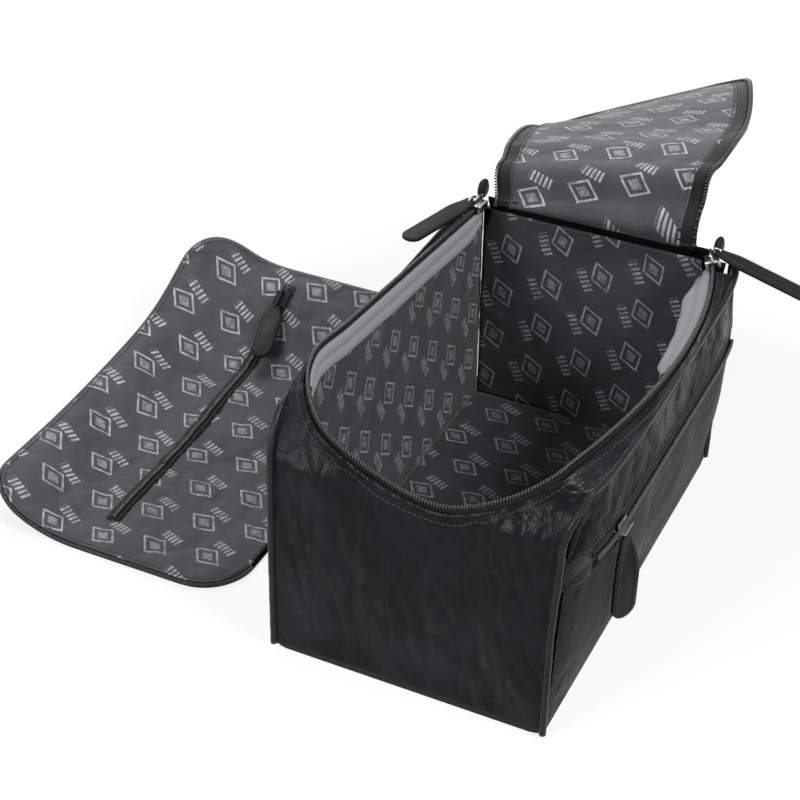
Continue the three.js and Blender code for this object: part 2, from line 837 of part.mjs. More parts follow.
const neckSlope = Math.tan(THREE.MathUtils.degToRad(hingeNeckDegrees));
const wedgeSlope = Math.tan(THREE.MathUtils.degToRad(middleWedgeDegrees));

// How far each stretch stays back from its own fold, at a place across the lid
const foldCut = {
  base: (y) => foldGap + Math.abs(y) * neckSlope,
  arch: () => foldGap / 2,
  middle: (y) => foldGap / 2 + Math.max(0, y) * wedgeSlope,
  end: () => foldGap / 2,
};

// A stretch's outline, set in from the lid's edge
function stretchShape(name, from, to, inset) {
  const isLast = to === lidLength;
  const last = isLast ? to - inset : to - foldGap / 2;
  const steps = isLast ? 14 : 6;
  const rows = [-1, 1].map((side) => {
    const row = [];
    const first = from + foldCut[name](side * lidHalf(from, side));
    for (let i = 0; i <= steps; i++) {
      const distance = mix(first, last, isLast ? Math.sin(right * i / steps) : i / steps);
      const half = lidHalf(Math.min(distance * lidLength / (isLast ? last : lidLength), lidLength), side);
      row.push(new THREE.Vector2(from - distance, side * (half - inset)));
    }
    return row;
  });
  const middle = new THREE.Vector2(-foldCut[name](0), 0);
  return new THREE.Shape([...rows[0], ...rows[1].reverse(), middle]);
}

function plate(shape, top, thick) {
  const solid = new THREE.ExtrudeGeometry(shape, { depth: thick, bevelEnabled: false });
  return solid.translate(0, 0, top - thick);
}

// The zip's half along one side of a stretch, with its teeth outside the leather's edge
function lidSideBand(name, from, to, side) {
  return (u, v) => {
    const edge = lidHalf(from, side);
    const distance = mix(from + foldCut[name](side * edge), to - foldGap / 2, u);
    const y = side * (lidHalf(distance, side) + lidTapeShow - (lidTapeShow + lidTapeWide) * v);
    return new THREE.Vector3(from - distance, y, -lidUnder - teethThick / 2);
  };
}

// The same round the free end, in one piece
function lidEndBand(from) {
  const straight = lidLength - lidEndRadius;
  const radius = lidEndRadius + lidTapeShow;
  const turnX = from - straight;
  const path = new THREE.Path();
  const start = from + foldGap / 2;
  const slope = (side) => (lidHalf(start + foldGap, side) - lidHalf(start, side)) / foldGap;
  const middle = (straight - start) / 2;
  const guide = (side) => lidHalf(start, side) + lidTapeShow + slope(side) * middle;
  const turnY = lidHalfWidth - lidEndRadius;
  path.moveTo(from - start, -lidHalf(start, -1) - lidTapeShow);
  path.quadraticCurveTo(from - start - middle, -guide(-1), turnX, -turnY - radius);
  path.absarc(turnX, -turnY, radius, -right, -2 * right, true);
  path.absarc(turnX, turnY, radius, 2 * right, right, true);
  path.quadraticCurveTo(from - start - middle, guide(1), from - start, lidHalf(start, 1) + lidTapeShow);
  const place = (x, y) => new THREE.Vector3(x, y, -lidUnder - teethThick / 2);
  return pathBand(path, 0, 1, lidTapeShow + lidTapeWide, place);
}

function makeStretch(group, name, from, to) {
  const leather = plate(stretchShape(name, from, to, 0), -axisLift, lidLeatherThick);
  addMesh(group, `lid_${name}_leather`, leather, 'leather');
  const liningInset = lidTapeWide + layerGap;
  const lining = plate(stretchShape(name, from, to, liningInset), -lidUnder, liningThick);
  addMesh(group, `lid_${name}_lining`, lining, 'lining');
  if (to === lidLength) {
    addMesh(group, `lid_${name}_zip_half`, sheet(48, 3, toothed, lidEndBand(from)), 'tape');
    return;
  }
  for (const [side, word] of [[-1, 'front'], [1, 'back']]) {
    const band = lidSideBand(name, from, to, side);
    addMesh(group, `lid_${name}_zip_${word}`, sheet(8, 3, toothed, band), 'tape');
  }
}

function turned(degrees) {
  const turn = new THREE.Vector3(...degrees).multiplyScalar(THREE.MathUtils.degToRad(1));
  const angle = turn.length();
  return new THREE.Quaternion().setFromAxisAngle(turn.normalize(), angle);
}

function makeLid() {
  const names = Object.keys(foldAt);
  let parent = bag;
  let before = 0;
  names.forEach((name, i) => {
    const from = foldAt[name];
    const to = i + 1 < names.length ? foldAt[names[i + 1]] : lidLength;
    const group = new THREE.Group();
    group.name = `lid_${name}`;
    if (i === 0) {
      group.position.set(hingeX, lidCentreY, hingeZ);
    } else {
      group.position.set(before - from, 0, 0);
    }
    group.quaternion.copy(turned(lidTurnDegrees[name]));
    parent.add(group);
    makeStretch(group, name, from, to);
    parent = group;
    before = from;
  });
}

// Sliders. In a slider's own frame its travel is along X and its outer side is up.
function extrudedAlong(outline, long) {
  const solid = new THREE.ExtrudeGeometry(outline, { depth: long, bevelEnabled: false });
  return solid.translate(0, 0, -long / 2).rotateX(right).rotateZ(right);
}

// Mirrors one side's points of an outline to the other side
function mirrored(points) {
  const other = points.slice().reverse().map(([y, z]) => new THREE.Vector2(-y, z));
  return new THREE.Shape([...points.map(([y, z]) => new THREE.Vector2(y, z)), ...other]);
}

// For a shut zip: two wings joined by a post through the slit, and a bail on top
function slitSlider(hasLower) {
  const inner = teethThick / 2 + wingRoom;
  const outer = inner + wingThick;
  const wide = sliderWide / 2;
  const lower = hasLower ? [[wide, -outer], [wide, -inner], [postThick / 2, -inner]] : [[postThick / 2, 0]];
  const upper = [[postThick / 2, inner], [wide, inner], [wide, outer]];
  const bail = [[bailThick / 2, outer], [bailThick / 2, outer + bailTall]];
  return extrudedAlong(mirrored([...lower, ...upper, ...bail]), sliderLong);
}

// For the open rim: a saddle over the teeth, with a bail on top
function railSlider() {
  const inner = teethThick / 2 + railRoom;
  const outer = inner + railWing;
  const top = bridgeRoom + wingThick;
  const saddle = [[inner, bridgeRoom], [inner, -railLeg], [outer, -railLeg], [outer, top]];
  const bail = [[bailThick / 2, top], [bailThick / 2, top + bailTall]];
  return extrudedAlong(mirrored([...saddle, ...bail]), sliderLong);
}

function framed(parent, origin, along, up) {
  const group = new THREE.Group();
  const x = along.clone().normalize();
  const y = up.clone().cross(x).normalize();
  const z = x.clone().cross(y);
  group.quaternion.setFromRotationMatrix(new THREE.Matrix4().makeBasis(x, y, z));
  group.position.copy(origin);
  parent.add(group);
  return group;
}

// A puller: a leather strap with one round end, narrowed to its head at the bail
function makePuller(parent, name, origin, along, up, size) {
  const half = size.wide / 2;
  const neck = half * size.neckShare;
  const outline = new THREE.Shape();
  outline.moveTo(-pullerHead, -neck);
  outline.lineTo(size.long * taperShare, -half);
  outline.absarc(size.long - half, 0, half, -right, right, false);
  outline.lineTo(size.long * taperShare, half);
  outline.lineTo(-pullerHead, neck);
  const options = { depth: pullerThick, bevelEnabled: false, curveSegments: 8 };
  const strap = new THREE.ExtrudeGeometry(outline, options);
  strap.translate(0, 0, -pullerThick / 2);
  addMesh(framed(parent, origin, along, up), name, strap, 'leather');
}

const levelUp = new THREE.Vector3(0, 0, 1);
const railTop = bridgeRoom + wingThick + bailTall;
const bailSide = bailThick / 2 + pullerClear;
const bailEnd = sliderLong / 2 + endPullerClear;

function makeFrontRimSlider() {
  const turn = rimHalfTurn - sliderFromEnd / rimRadius;
  const origin = rimArcPoint(turn);
  const up = new THREE.Vector3(0, Math.sin(rimTilt), Math.cos(rimTilt));
  const along = new THREE.Vector3(Math.cos(turn), 0, 0).addScaledVector(rimBow, -Math.sin(turn));
  addMesh(framed(bag, origin, along, up), 'rim_slider_front', railSlider(), 'metal');
  const aside = bailThick / 2 + frontPullerClear;
  const head = origin.clone().addScaledVector(up, railTop).addScaledVector(rimBow, aside);
  const lies = new THREE.Vector3(...frontRimPullerShares);
  makePuller(bag, 'rim_puller_front', head, lies, levelUp, rimPuller);
}

function makeBackRimSlider() {
  const along = rimBackPoint(1).sub(rimBackPoint(0));
  const origin = rimBackPoint(sliderFromEnd / along.length());
  addMesh(framed(bag, origin, along, levelUp), 'rim_slider_back', railSlider(), 'metal');
  const head = origin.clone().addScaledVector(along.normalize(), bailEnd).addScaledVector(levelUp, railTop);
  head.y += rimPuller.wide * rimPuller.neckShare * headOutShare;
  const lies = new THREE.Vector3(...backRimPullerShares);
  makePuller(bag, 'rim_puller_back', head, lies, levelUp, rimPuller);
}

function makePocketSlider() {
  const outward = new THREE.Vector3(0, -1, 0);
  const y = frontFace(0, pocketZipZ) + leatherThick / 2 + tapeThick;
  const origin = new THREE.Vector3(pocketSliderX, y, pocketZipZ);
  const group = framed(bag, origin, new THREE.Vector3(1, 0, 0), outward);
  addMesh(group, 'pocket_slider', slitSlider(true), 'gunmetal');
  const stand = teethThick / 2 + wingRoom + wingThick + pullerClear;
  const head = origin.clone().addScaledVector(outward, stand).addScaledVector(levelUp, -bailSide);
  makePuller(bag, 'pocket_puller', head, new THREE.Vector3(0, 0, -1), outward, pocketPuller);
}

function makeFlapSlider(parent) {
  const lift = flapLiningTop + flapGap + teethThick / 2;
  const origin = onFlap(flapSliderX, flapZipY, lift);
  const along = onFlap(flapSliderX - sliderLong / 2, flapZipY, lift)
    .sub(onFlap(flapSliderX + sliderLong / 2, flapZipY, lift));
  const up = onFlap(flapSliderX, flapZipY, lift + flapThick).sub(origin).normalize();
  addMesh(framed(parent, origin, along, up), 'flap_slider', slitSlider(false), 'gunmetal');
  const stand = teethThick / 2 + wingRoom + wingThick + pullerClear;
  const head = origin.clone().addScaledVector(along.normalize(), bailEnd).addScaledVector(up, stand);
  const lies = new THREE.Vector3(...flapPullerShares);
  makePuller(parent, 'flap_puller', head, lies, levelUp, flapPuller);
}

makeBottom();
makeBoard();
makeEndPanels();
makeFrontPanels();
makeBackPanel();
makePiping('front_piping', frontFace, -1, pipeTopFront);
makePiping('back_piping', backFace, 1, pipeTopBack);
makeStrips();
makeRimZip();
makeFacings();
makeLinings();
makeHingeStrip();
makeTabs();
makePocketZip();
makeHandle();
makeBackZip();
makeFloorStrip();
makeFlap(bag);
makeFlapZip(bag);
makeLid();
makeFrontRimSlider();
makeBackRimSlider();
makePocketSlider();
makeFlapSlider(bag);

export default bag;
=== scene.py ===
import math

import bmesh
import bpy
import numpy as np
from mathutils import Matrix, Vector, noise


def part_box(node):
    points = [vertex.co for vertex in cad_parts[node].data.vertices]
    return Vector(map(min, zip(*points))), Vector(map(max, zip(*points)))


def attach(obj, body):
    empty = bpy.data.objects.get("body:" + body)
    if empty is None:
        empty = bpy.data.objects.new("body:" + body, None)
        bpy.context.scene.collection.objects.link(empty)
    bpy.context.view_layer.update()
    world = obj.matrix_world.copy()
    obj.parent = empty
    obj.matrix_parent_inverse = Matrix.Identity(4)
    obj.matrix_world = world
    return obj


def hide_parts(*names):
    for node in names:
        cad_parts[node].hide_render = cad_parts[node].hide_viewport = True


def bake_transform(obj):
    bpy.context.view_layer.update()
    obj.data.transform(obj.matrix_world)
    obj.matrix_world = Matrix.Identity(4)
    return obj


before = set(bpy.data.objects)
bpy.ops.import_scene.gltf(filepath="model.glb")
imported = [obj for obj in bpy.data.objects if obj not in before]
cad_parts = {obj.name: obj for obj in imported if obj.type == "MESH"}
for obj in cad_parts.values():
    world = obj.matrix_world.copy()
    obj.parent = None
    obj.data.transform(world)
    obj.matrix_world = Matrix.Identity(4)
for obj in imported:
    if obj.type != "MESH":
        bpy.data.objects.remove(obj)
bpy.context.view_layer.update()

MM = 0.001
UP = np.array([0.0, 0.0, 1.0])

# Driving sizes of the body, in metres, as in the solids
HALF_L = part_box("bottom_panel")[1][0]
HALF_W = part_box("bottom_panel")[1][1]
HEIGHT = 152 * MM
FRONT_BULGE = 14 * MM
BACK_BULGE = 5 * MM
BULGE_TOP = 90 * MM
BULGE_EASES = (108 * MM, 42 * MM)
PIPE_RADIUS = 1.9 * MM
TOOTH_LONG = 1.05 * MM
TOOTH_PITCH, SMALL_TOOTH_PITCH = 1.58 * MM, 1.5 * MM
LOW_STITCH = (2.0 * MM, 0.5 * MM, 0.4 * MM)
NEAR_SHOULDER = (28 * MM, 118 * MM)
FAR_SHOULDER = (12 * MM, 135 * MM)
END_LEAN = 2 * MM
LEAN_FROM, LEAN_OVER = 60 * MM, 60 * MM
EDGE_LOW, EDGE_HIGH = 2 * MM, 140 * MM
PIPE_TOP = {-1: 146 * MM, 1: 145 * MM}
PIPE_SAG = 4 * MM
RIM_BACK_FAR = np.array([121, 72, 146]) * MM
RIM_BACK_NEAR = np.array([-78, 79.5, 156]) * MM
RIM_CHORD = np.array([12, -69, 147.3]) * MM
RIM_HALF_CHORD = 107 * MM
RIM_SAGITTA = 19.8 * MM
RIM_RADIUS = (RIM_HALF_CHORD ** 2 + RIM_SAGITTA ** 2) / (2 * RIM_SAGITTA)
RIM_TILT = math.radians(19)
# Places on the rim's near bend, as shares of HALF_L, HALF_W and HEIGHT
NEAR_RIM_SHARES = [
    (-0.76, 0.93, 0.998), (-0.886, 0.714, 0.934), (-0.939, 0.26, 0.842),
    (-0.955, -0.195, 0.809), (-0.917, -0.584, 0.882), (-0.82, -0.83, 0.955),
]


# Small helpers
def mix(a, b, share):
    return a + (b - a) * share


def clamp(share):
    return min(1.0, max(0.0, share))


def smooth(share):
    t = clamp(share)
    return t * t * (3 - 2 * t)


def between(share, rise, fall):
    """From 0 at the ends of a run to 1 in its middle."""
    return smooth(share / rise) * smooth((1 - share) / fall)


def unit(v):
    return v / (np.linalg.norm(v) + 1e-12)


def vec(x, y, z):
    return np.array([x, y, z], float)


def link(name, mesh, material):
    obj = bpy.data.objects.new(name, mesh)
    bpy.context.scene.collection.objects.link(obj)
    mesh.materials.append(material)
    for face in mesh.polygons:
        face.use_smooth = True
    return obj


def mesh_piece(name, points, faces, material, uvs=None):
    mesh = bpy.data.meshes.new(name)
    mesh.from_pydata([tuple(p) for p in points], [], faces)
    if uvs is not None:
        layer = mesh.uv_layers.new(name="flat")
        for loop in mesh.loops:
            layer.data[loop.index].uv = uvs[loop.vertex_index]
    mesh.update()
    return link(name, mesh, material)


def face_out(obj):
    mesh = bmesh.new()
    mesh.from_mesh(obj.data)
    bmesh.ops.recalc_face_normals(mesh, faces=mesh.faces)
    mesh.to_mesh(obj.data)
    mesh.free()
    return obj


def bake(obj):
    """Applies every modifier, so that the piece is a plain mesh."""
    graph = bpy.context.evaluated_depsgraph_get()
    mesh = bpy.data.meshes.new_from_object(obj.evaluated_get(graph))
    obj.modifiers.clear()
    obj.data = mesh
    for face in mesh.polygons:
        face.use_smooth = True
    return obj


def thicken(obj, thick, offset=0.0):
    solid = obj.modifiers.new("thick", "SOLIDIFY")
    solid.thickness = thick
    solid.offset = offset
    solid.use_even_offset = False
    return bake(obj)


def round_edges(obj, width, segments, degrees):
    """Sets a bevel on the edges that are sharper than an angle."""
    edge = obj.modifiers.new("edge", "BEVEL")
    edge.width = width
    edge.segments = segments
    edge.limit_method = "ANGLE"
    edge.angle_limit = math.radians(degrees)


def rides(obj, body, *nodes):
    """Fixes a piece to a body, in place of the solids named."""
    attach(obj, body)
    if nodes:
        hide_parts(*nodes)
    return obj


def grid_faces(across, rows):
    """Faces between rows of points, with a number of steps across each row."""
    row = across + 1
    starts = [j * row + i for j in range(rows) for i in range(across)]
    return [(a, a + 1, a + row + 1, a + row) for a in starts]


def ring_faces(rings, sides, closed=False):
    """Faces between rings of points, and over both ends unless the rings close."""
    faces = []
    for i in range(rings if closed else rings - 1):
        j = (i + 1) % rings
        for k in range(sides):
            m = (k + 1) % sides
            faces.append((i * sides + k, i * sides + m, j * sides + m, j * sides + k))
    if not closed:
        faces.append(tuple(range(sides))[::-1])
        faces.append(tuple((rings - 1) * sides + k for k in range(sides)))
    return faces


def sheet(name, counts, surface, material, thick, flat, outward=False):
    """A thin sheet over a grid. Its flat layout is a size, or a function of the grid's shares."""
    across, rows = counts
    lay = flat if callable(flat) else lambda u, v: (u * flat[0], v * flat[1])
    shares = [(i / across, j / rows) for j in range(rows + 1) for i in range(across + 1)]
    points = [surface(u, v) for u, v in shares]
    obj = mesh_piece(name, points, grid_faces(across, rows), material, [lay(u, v) for u, v in shares])
    if outward:
        face_out(obj)
    return thicken(obj, thick)


def cord_mesh(name, path, radius, material, sides, closed=False):
    """A round tube along a list of points, with flat ends."""
    path = np.array(path)
    first, last = (path[-1:], path[:1]) if closed else (path[:1], path[-1:])
    run = np.concatenate([first, path, last])
    turns = [2 * math.pi * k / sides for k in range(sides)]
    points = []
    normal = None
    for before, p, after in zip(run, run[1:], run[2:]):
        along = unit(after - before)
        if normal is None:
            normal = np.cross(along, UP if abs(along[2]) < 0.9 else vec(1, 0, 0))
        normal = unit(normal - along * np.dot(normal, along))
        side = np.cross(along, normal)
        points += [p + radius * (math.cos(turn) * normal + math.sin(turn) * side) for turn in turns]
    return face_out(mesh_piece(name, points, ring_faces(len(path), sides, closed), material))


def bar_shape(long, wide, tall):
    """A small rounded bar, for a tooth or a stitch."""
    ring = ((-0.5, -0.3), (-0.5, 0.3), (-0.2, 0.5), (0.35, 0.5),
            (0.5, 0.2), (0.5, -0.2), (0.35, -0.5), (-0.2, -0.5))
    points = [(x * long, y * wide * (0.9 + 0.1 * s), z * tall * s)
              for x, s in ((-0.5, 0.55), (-0.3, 1.0), (0.3, 1.0), (0.5, 0.55)) for y, z in ring]
    return points, ring_faces(4, len(ring))


def bars(name, size, frames, material):
    """One mesh of many small bars; each frame is (origin, x axis, y axis, z axis, ...)."""
    shape, shape_faces = bar_shape(*size)
    points, faces = [], []
    for origin, x, y, z, *_ in frames:
        base = len(points)
        points.extend(origin + p[0] * x + p[1] * y + p[2] * z for p in shape)
        faces.extend(tuple(base + k for k in face) for face in shape_faces)
    return mesh_piece(name, points, faces, material)


def run_of(path):
    """How far along a path each of its points lies."""
    return np.concatenate([[0], np.cumsum(np.linalg.norm(np.diff(path, axis=0), axis=1))])


def even_points(path, count):
    """A number of points at even steps from end to end of a path."""
    run = run_of(path)
    where = np.linspace(0, run[-1], count)
    return np.stack([np.interp(where, run, column) for column in path.T], 1)


def resample(path, pitch):
    """Points along a path at even steps of about the given pitch."""
    path = np.array(path)
    return even_points(path, max(2, int(round(run_of(path)[-1] / pitch)) + 1))


def inner_points(path):
    """Each inner point of a path, with the path's direction there."""
    return [(path[i], unit(path[i + 1] - path[i - 1])) for i in range(1, len(path) - 1)]


# The camera, fitted to the photograph
AZIMUTH = math.radians(-65.18)
ELEVATION = math.radians(34.88)
ROLL = math.radians(1.16)
FOCAL_SHARE = 1907.5 / 800
SENSOR = 36.0
CLIP_START = 0.01
CAMERA_AT = (-0.7942, -0.3003, 0.6902)


def make_camera():
    level = math.cos(ELEVATION)
    back = Vector((math.sin(AZIMUTH) * level, -math.cos(AZIMUTH) * level, math.sin(ELEVATION)))
    right = (-back).cross(Vector((0, 0, 1))).normalized()
    top = right.cross(-back).normalized()
    side = right * math.cos(ROLL) + top * math.sin(ROLL)
    above = top * math.cos(ROLL) - right * math.sin(ROLL)
    camera = bpy.data.objects.new("camera", bpy.data.cameras.new("camera"))
    bpy.context.scene.collection.objects.link(camera)
    camera.data.sensor_width = SENSOR
    camera.data.lens = FOCAL_SHARE * SENSOR
    camera.data.clip_start = CLIP_START
    turn = Matrix((side, above, back)).transposed()
    camera.matrix_world = Matrix.Translation(CAMERA_AT) @ turn.to_4x4()
    bpy.context.scene.camera = camera


# Materials
class Nodes:
    """A short way to write the node tree of a material or a world."""

    def __init__(self, name, made=None, out="OutputMaterial", shader="BsdfPrincipled"):
        self.made = made or bpy.data.materials.new(name)
        self.made.use_nodes = True
        self.tree = self.made.node_tree
        self.tree.nodes.clear()
        self.shader = self.add(shader)
        self.out = self.add(out, {"Surface": self.shader.outputs[0]})
        self.place = self.add("TexCoord")

    def add(self, kind, inputs=(), **settings):
        """A node with its settings, and its inputs by name or number."""
        node = self.tree.nodes.new("ShaderNode" + kind)
        for name, value in settings.items():
            setattr(node, name, value)
        for name, value in dict(inputs).items():
            self.put(node.inputs[name], value)
        return node

    def put(self, socket, value):
        if isinstance(value, bpy.types.NodeSocket):
            self.tree.links.new(value, socket)
        elif value is not None:
            socket.default_value = (*value, 1) if socket.type == "RGBA" else value

    def math(self, how, a, b=0.0):
        return self.add("Math", {0: a, 1: b}, operation=how).outputs[0]

    def ramp(self, value, low, high, start=0.0, end=1.0):
        """From low to high while the value goes from start to end."""
        return self.add("MapRange", {0: value, 1: start, 2: end, 3: low, 4: high}, clamp=True).outputs[0]

    def colour(self, share, a, b):
        return self.add("Mix", {0: share, 6: a, 7: b}, data_type="RGBA").outputs[2]

    def tones(self, share, shade, low, high):
        """A colour between a darker and a lighter tone of a shade."""
        return self.colour(share, tuple(low * c for c in shade), tuple(high * c for c in shade))

    def where(self, scale=(1, 1, 1), uv=False, turn=(0, 0, 0)):
        source = self.place.outputs["UV" if uv else "Object"]
        return self.add("Mapping", {"Vector": source, "Scale": scale, "Rotation": turn}).outputs[0]

    def noise(self, where, scale, detail=3.0, rough=0.5, warp=0.0):
        return self.add("TexNoise", {"Vector": where, "Scale": scale, "Detail": detail,
                                     "Roughness": rough, "Distortion": warp}).outputs[0]

    def cells(self, where, scale, feature="F1"):
        return self.add("TexVoronoi", {"Vector": where, "Scale": scale}, feature=feature).outputs["Distance"]

    def waves(self, where, scale, way):
        return self.add("TexWave", {"Vector": where, "Scale": scale}, bands_direction=way).outputs["Fac"]

    def bump(self, height, depth, before=None):
        return self.add("Bump", {"Height": height, "Distance": depth, "Normal": before}).outputs[0]

    def finish(self, colour, rough, normal=None, metal=0.0, sheen=0.0, specular=0.5):
        for name, value in (("Base Color", colour), ("Roughness", rough), ("Normal", normal),
                            ("Metallic", metal), ("Sheen Weight", sheen), ("Specular IOR Level", specular)):
            self.put(self.shader.inputs[name], value)
        return self.made

    def seen(self):
        """1 for rays from the camera, off a shiny surface or through a clear one, otherwise 0."""
        rays = self.add("LightPath").outputs
        either = self.math("MAXIMUM", rays["Is Camera Ray"], rays["Is Glossy Ray"])
        return self.math("MAXIMUM", either, rays["Is Transmission Ray"])

    def blend(self, share, other):
        """Mixes a second shader into the first by a share."""
        both = self.add("MixShader", {0: share, 1: self.shader.outputs[0], 2: other.outputs[0]})
        self.put(self.out.inputs["Surface"], both.outputs[0])


def leather(name, shade, rough, crease, grain, shine=0.2):
    """Soft black leather: pores, fine grain, broad creases, and worn, shinier tops."""
    n = Nodes(name)
    at = n.where()
    broad = n.noise(at, 22, 4, 0.55, 0.6)
    creases = n.cells(n.where((1.0, 1.6, 0.8)), 46, "DISTANCE_TO_EDGE")
    soft = n.ramp(creases, 0.0, 1.0, 0.0, 0.22)
    folds = n.noise(n.where((1.0, 1.0, 0.35)), 24, 3, 0.5, 1.1)
    pores = n.cells(at, 900)
    fine = n.noise(at, 1500, 3, 0.6)
    normal = n.bump(folds, crease * 1.6 * MM)
    normal = n.bump(soft, crease * 0.25 * MM, normal)
    normal = n.bump(pores, grain * 0.16 * MM, normal)
    normal = n.bump(fine, grain * 0.06 * MM, normal)
    colour = n.tones(n.ramp(broad, 0, 1, 0.35, 0.7), shade, 0.6, 1.5)
    worn = n.ramp(broad, rough - 0.09, rough + 0.11, 0.35, 0.65)
    gloss = n.math("ADD", worn, n.ramp(pores, -0.03, 0.05))
    return n.finish(colour, gloss, normal, specular=shine)


# The print's repeat, and its shapes in shares of the repeat
PRINT_CELL = (34 * MM, 27 * MM)
PRINT_TURN = math.radians(24)
LOZENGE_X, LOZENGE_SIZE = -0.1, (0.22, 0.40)
LOZENGE_RING, LOZENGE_CORE = (0.80, 1.0), 0.46
LADDER_X, LADDER_SIZE = 0.24, (0.085, 0.28)
SATIN_THREADS = 900


def printed_satin(name, ground, mark):
    """Satin weave with a pale motif in a staggered, tilted layout: two nested lozenges
    beside a short ladder of bars. The print's places come from the piece's flat layout."""
    n = Nodes(name)
    m = n.math

    def far(value, middle=0.0):
        return m("ABSOLUTE", m("SUBTRACT", value, middle))

    def stripes(count, bare):
        return m("GREATER_THAN", m("FRACT", m("MULTIPLY", q, count)), bare)

    def both(a, b):
        return m("MULTIPLY", a, b)

    split = n.add("SeparateXYZ", {0: n.where(uv=True, turn=(0, 0, PRINT_TURN))})
    x, y = [m("DIVIDE", split.outputs[k], PRINT_CELL[k]) for k in range(2)]
    stagger = m("MULTIPLY", m("MODULO", m("ABSOLUTE", m("FLOOR", y)), 2), 0.5)
    p = m("SUBTRACT", m("FRACT", m("ADD", x, stagger)), 0.5)
    q = m("SUBTRACT", m("FRACT", y), 0.5)
    wide, tall = LOZENGE_SIZE
    lozenge = m("ADD", m("DIVIDE", far(p, LOZENGE_X), wide), m("DIVIDE", far(q), tall))
    ring = both(m("GREATER_THAN", lozenge, LOZENGE_RING[0]), m("LESS_THAN", lozenge, LOZENGE_RING[1]))
    core = both(m("LESS_THAN", lozenge, LOZENGE_CORE), stripes(22, 0.42))
    wide, tall = LADDER_SIZE
    ladder = both(m("LESS_THAN", far(p, LADDER_X), wide), m("LESS_THAN", far(q), tall))
    motif = m("MAXIMUM", m("MAXIMUM", ring, core), both(ladder, stripes(9, 0.45)))
    at = n.where(uv=True)
    motif = m("MULTIPLY", motif, n.ramp(n.noise(at, 240, 3), 0.35, 1.0, 0.35, 0.6))
    weave = m("ADD", n.waves(at, SATIN_THREADS, "X"), n.waves(at, SATIN_THREADS, "Y"))
    broad = n.noise(at, 30, 4, 0.6, 0.5)
    shade = n.tones(n.ramp(broad, 0, 1, 0.3, 0.7), ground, 0.8, 1.2)
    normal = n.bump(weave, 0.03 * MM, n.bump(broad, 2.6 * MM))
    gloss = m("SUBTRACT", 0.5, m("MULTIPLY", motif, 0.16))
    return n.finish(n.colour(motif, shade, mark), gloss, normal, sheen=0.12, specular=0.16)


def woven(name, shade, rough, pitch, rib=0.0):
    """A plain woven band or tape, with soft ribs where rib, their scale, is set."""
    n = Nodes(name)
    at = n.where()
    weave = n.math("MULTIPLY", *(n.waves(at, 0.32 / pitch, way) for way in ("DIAGONAL", "Z")))
    fuzz = n.noise(at, 1600, 2)
    colour = n.tones(n.math("MULTIPLY", weave, fuzz), shade, 0.7, 1.2)
    normal = n.bump(fuzz, 0.05 * MM, n.bump(weave, 0.12 * MM))
    if rib > 0:
        normal = n.bump(n.noise(at, rib, 3), 0.6 * MM, normal)
    return n.finish(colour, rough, normal, sheen=0.1, specular=0.15)


def plated(name, shade, rough):
    """Plated metal with faint scuffs."""
    n = Nodes(name)
    at = n.where()
    scuff = n.noise(n.where((1, 6, 1)), 500, 4, 0.7)
    gloss = n.ramp(scuff, rough - 0.06, rough + 0.14, 0.3, 0.8)
    colour = n.tones(n.noise(at, 120, 3), shade, 0.85, 1)
    return n.finish(colour, gloss, n.bump(scuff, 0.01 * MM), metal=1.0)


def moulded(name, shade, rough):
    """Nylon coil teeth: smooth, with slight streaks."""
    n = Nodes(name)
    streak = n.noise(n.where((1, 1, 3)), 900, 3)
    colour = n.tones(streak, shade, 0.75, 1.3)
    return n.finish(colour, n.ramp(streak, rough - 0.08, rough + 0.08), n.bump(streak, 0.02 * MM))


# Leathers: shade, roughness, depth of the creases and of the grain, shine
BODY = leather("body_leather", (0.0074, 0.0079, 0.0087), 0.33, 1.9, 0.7, 0.085)
YOKE = leather("yoke_leather", (0.0045, 0.0049, 0.0054), 0.27, 1.2, 0.4, 0.03)
PANEL = leather("pocket_leather", (0.0115, 0.012, 0.013), 0.50, 0.6, 1.5, 0.07)
PULLER = leather("puller_leather", (0.007, 0.007, 0.0075), 0.44, 0.3, 1.2, 0.13)
PIPING = leather("piping_leather", (0.007, 0.007, 0.008), 0.30, 0.3, 0.6, 0.2)
BOTTOM = leather("bottom_leather", (0.014, 0.014, 0.015), 0.55, 0.4, 1.5)
# Linings: ground and print
LINING = printed_satin("printed_lining", (0.043, 0.045, 0.048), (0.34, 0.35, 0.37))
INNER_LINING = printed_satin("inner_lining", (0.042, 0.043, 0.046), (0.26, 0.27, 0.28))
# Woven: shade, roughness, pitch of the weave, scale of the ribs
FACING = woven("pale_facing", (0.34, 0.35, 0.365), 0.75, 0.9 * MM, 60)
TAPE = woven("zip_tape", (0.010, 0.010, 0.011), 0.7, 0.7 * MM)
THREAD = woven("thread", (0.045, 0.045, 0.047), 0.5, 0.4 * MM)
# Plain: shade, roughness
COIL = moulded("coil_teeth", (0.022, 0.022, 0.024), 0.27)
SILVER = plated("silver_plate", (0.62, 0.62, 0.64), 0.22)
GUNMETAL = plated("gunmetal_plate", (0.24, 0.24, 0.25), 0.28)
BLACK_METAL = plated("black_plate", (0.03, 0.03, 0.032), 0.4)
BOARD = woven("base_board", (0.10, 0.095, 0.09), 0.85, 2.0 * MM)


# The body's outer faces
def side_share(x):
    return 1 - min(1.0, abs(x / HALF_L)) ** 8


def rise_share(z):
    rise = math.sin(math.pi / 2 * clamp(z / BULGE_TOP))
    return rise * (1 - 0.2 * smooth((z - BULGE_EASES[0]) / BULGE_EASES[1]))


def face_y(side, x, z):
    bulge = FRONT_BULGE if side < 0 else BACK_BULGE
    return side * (HALF_W + bulge * side_share(x) * rise_share(z))


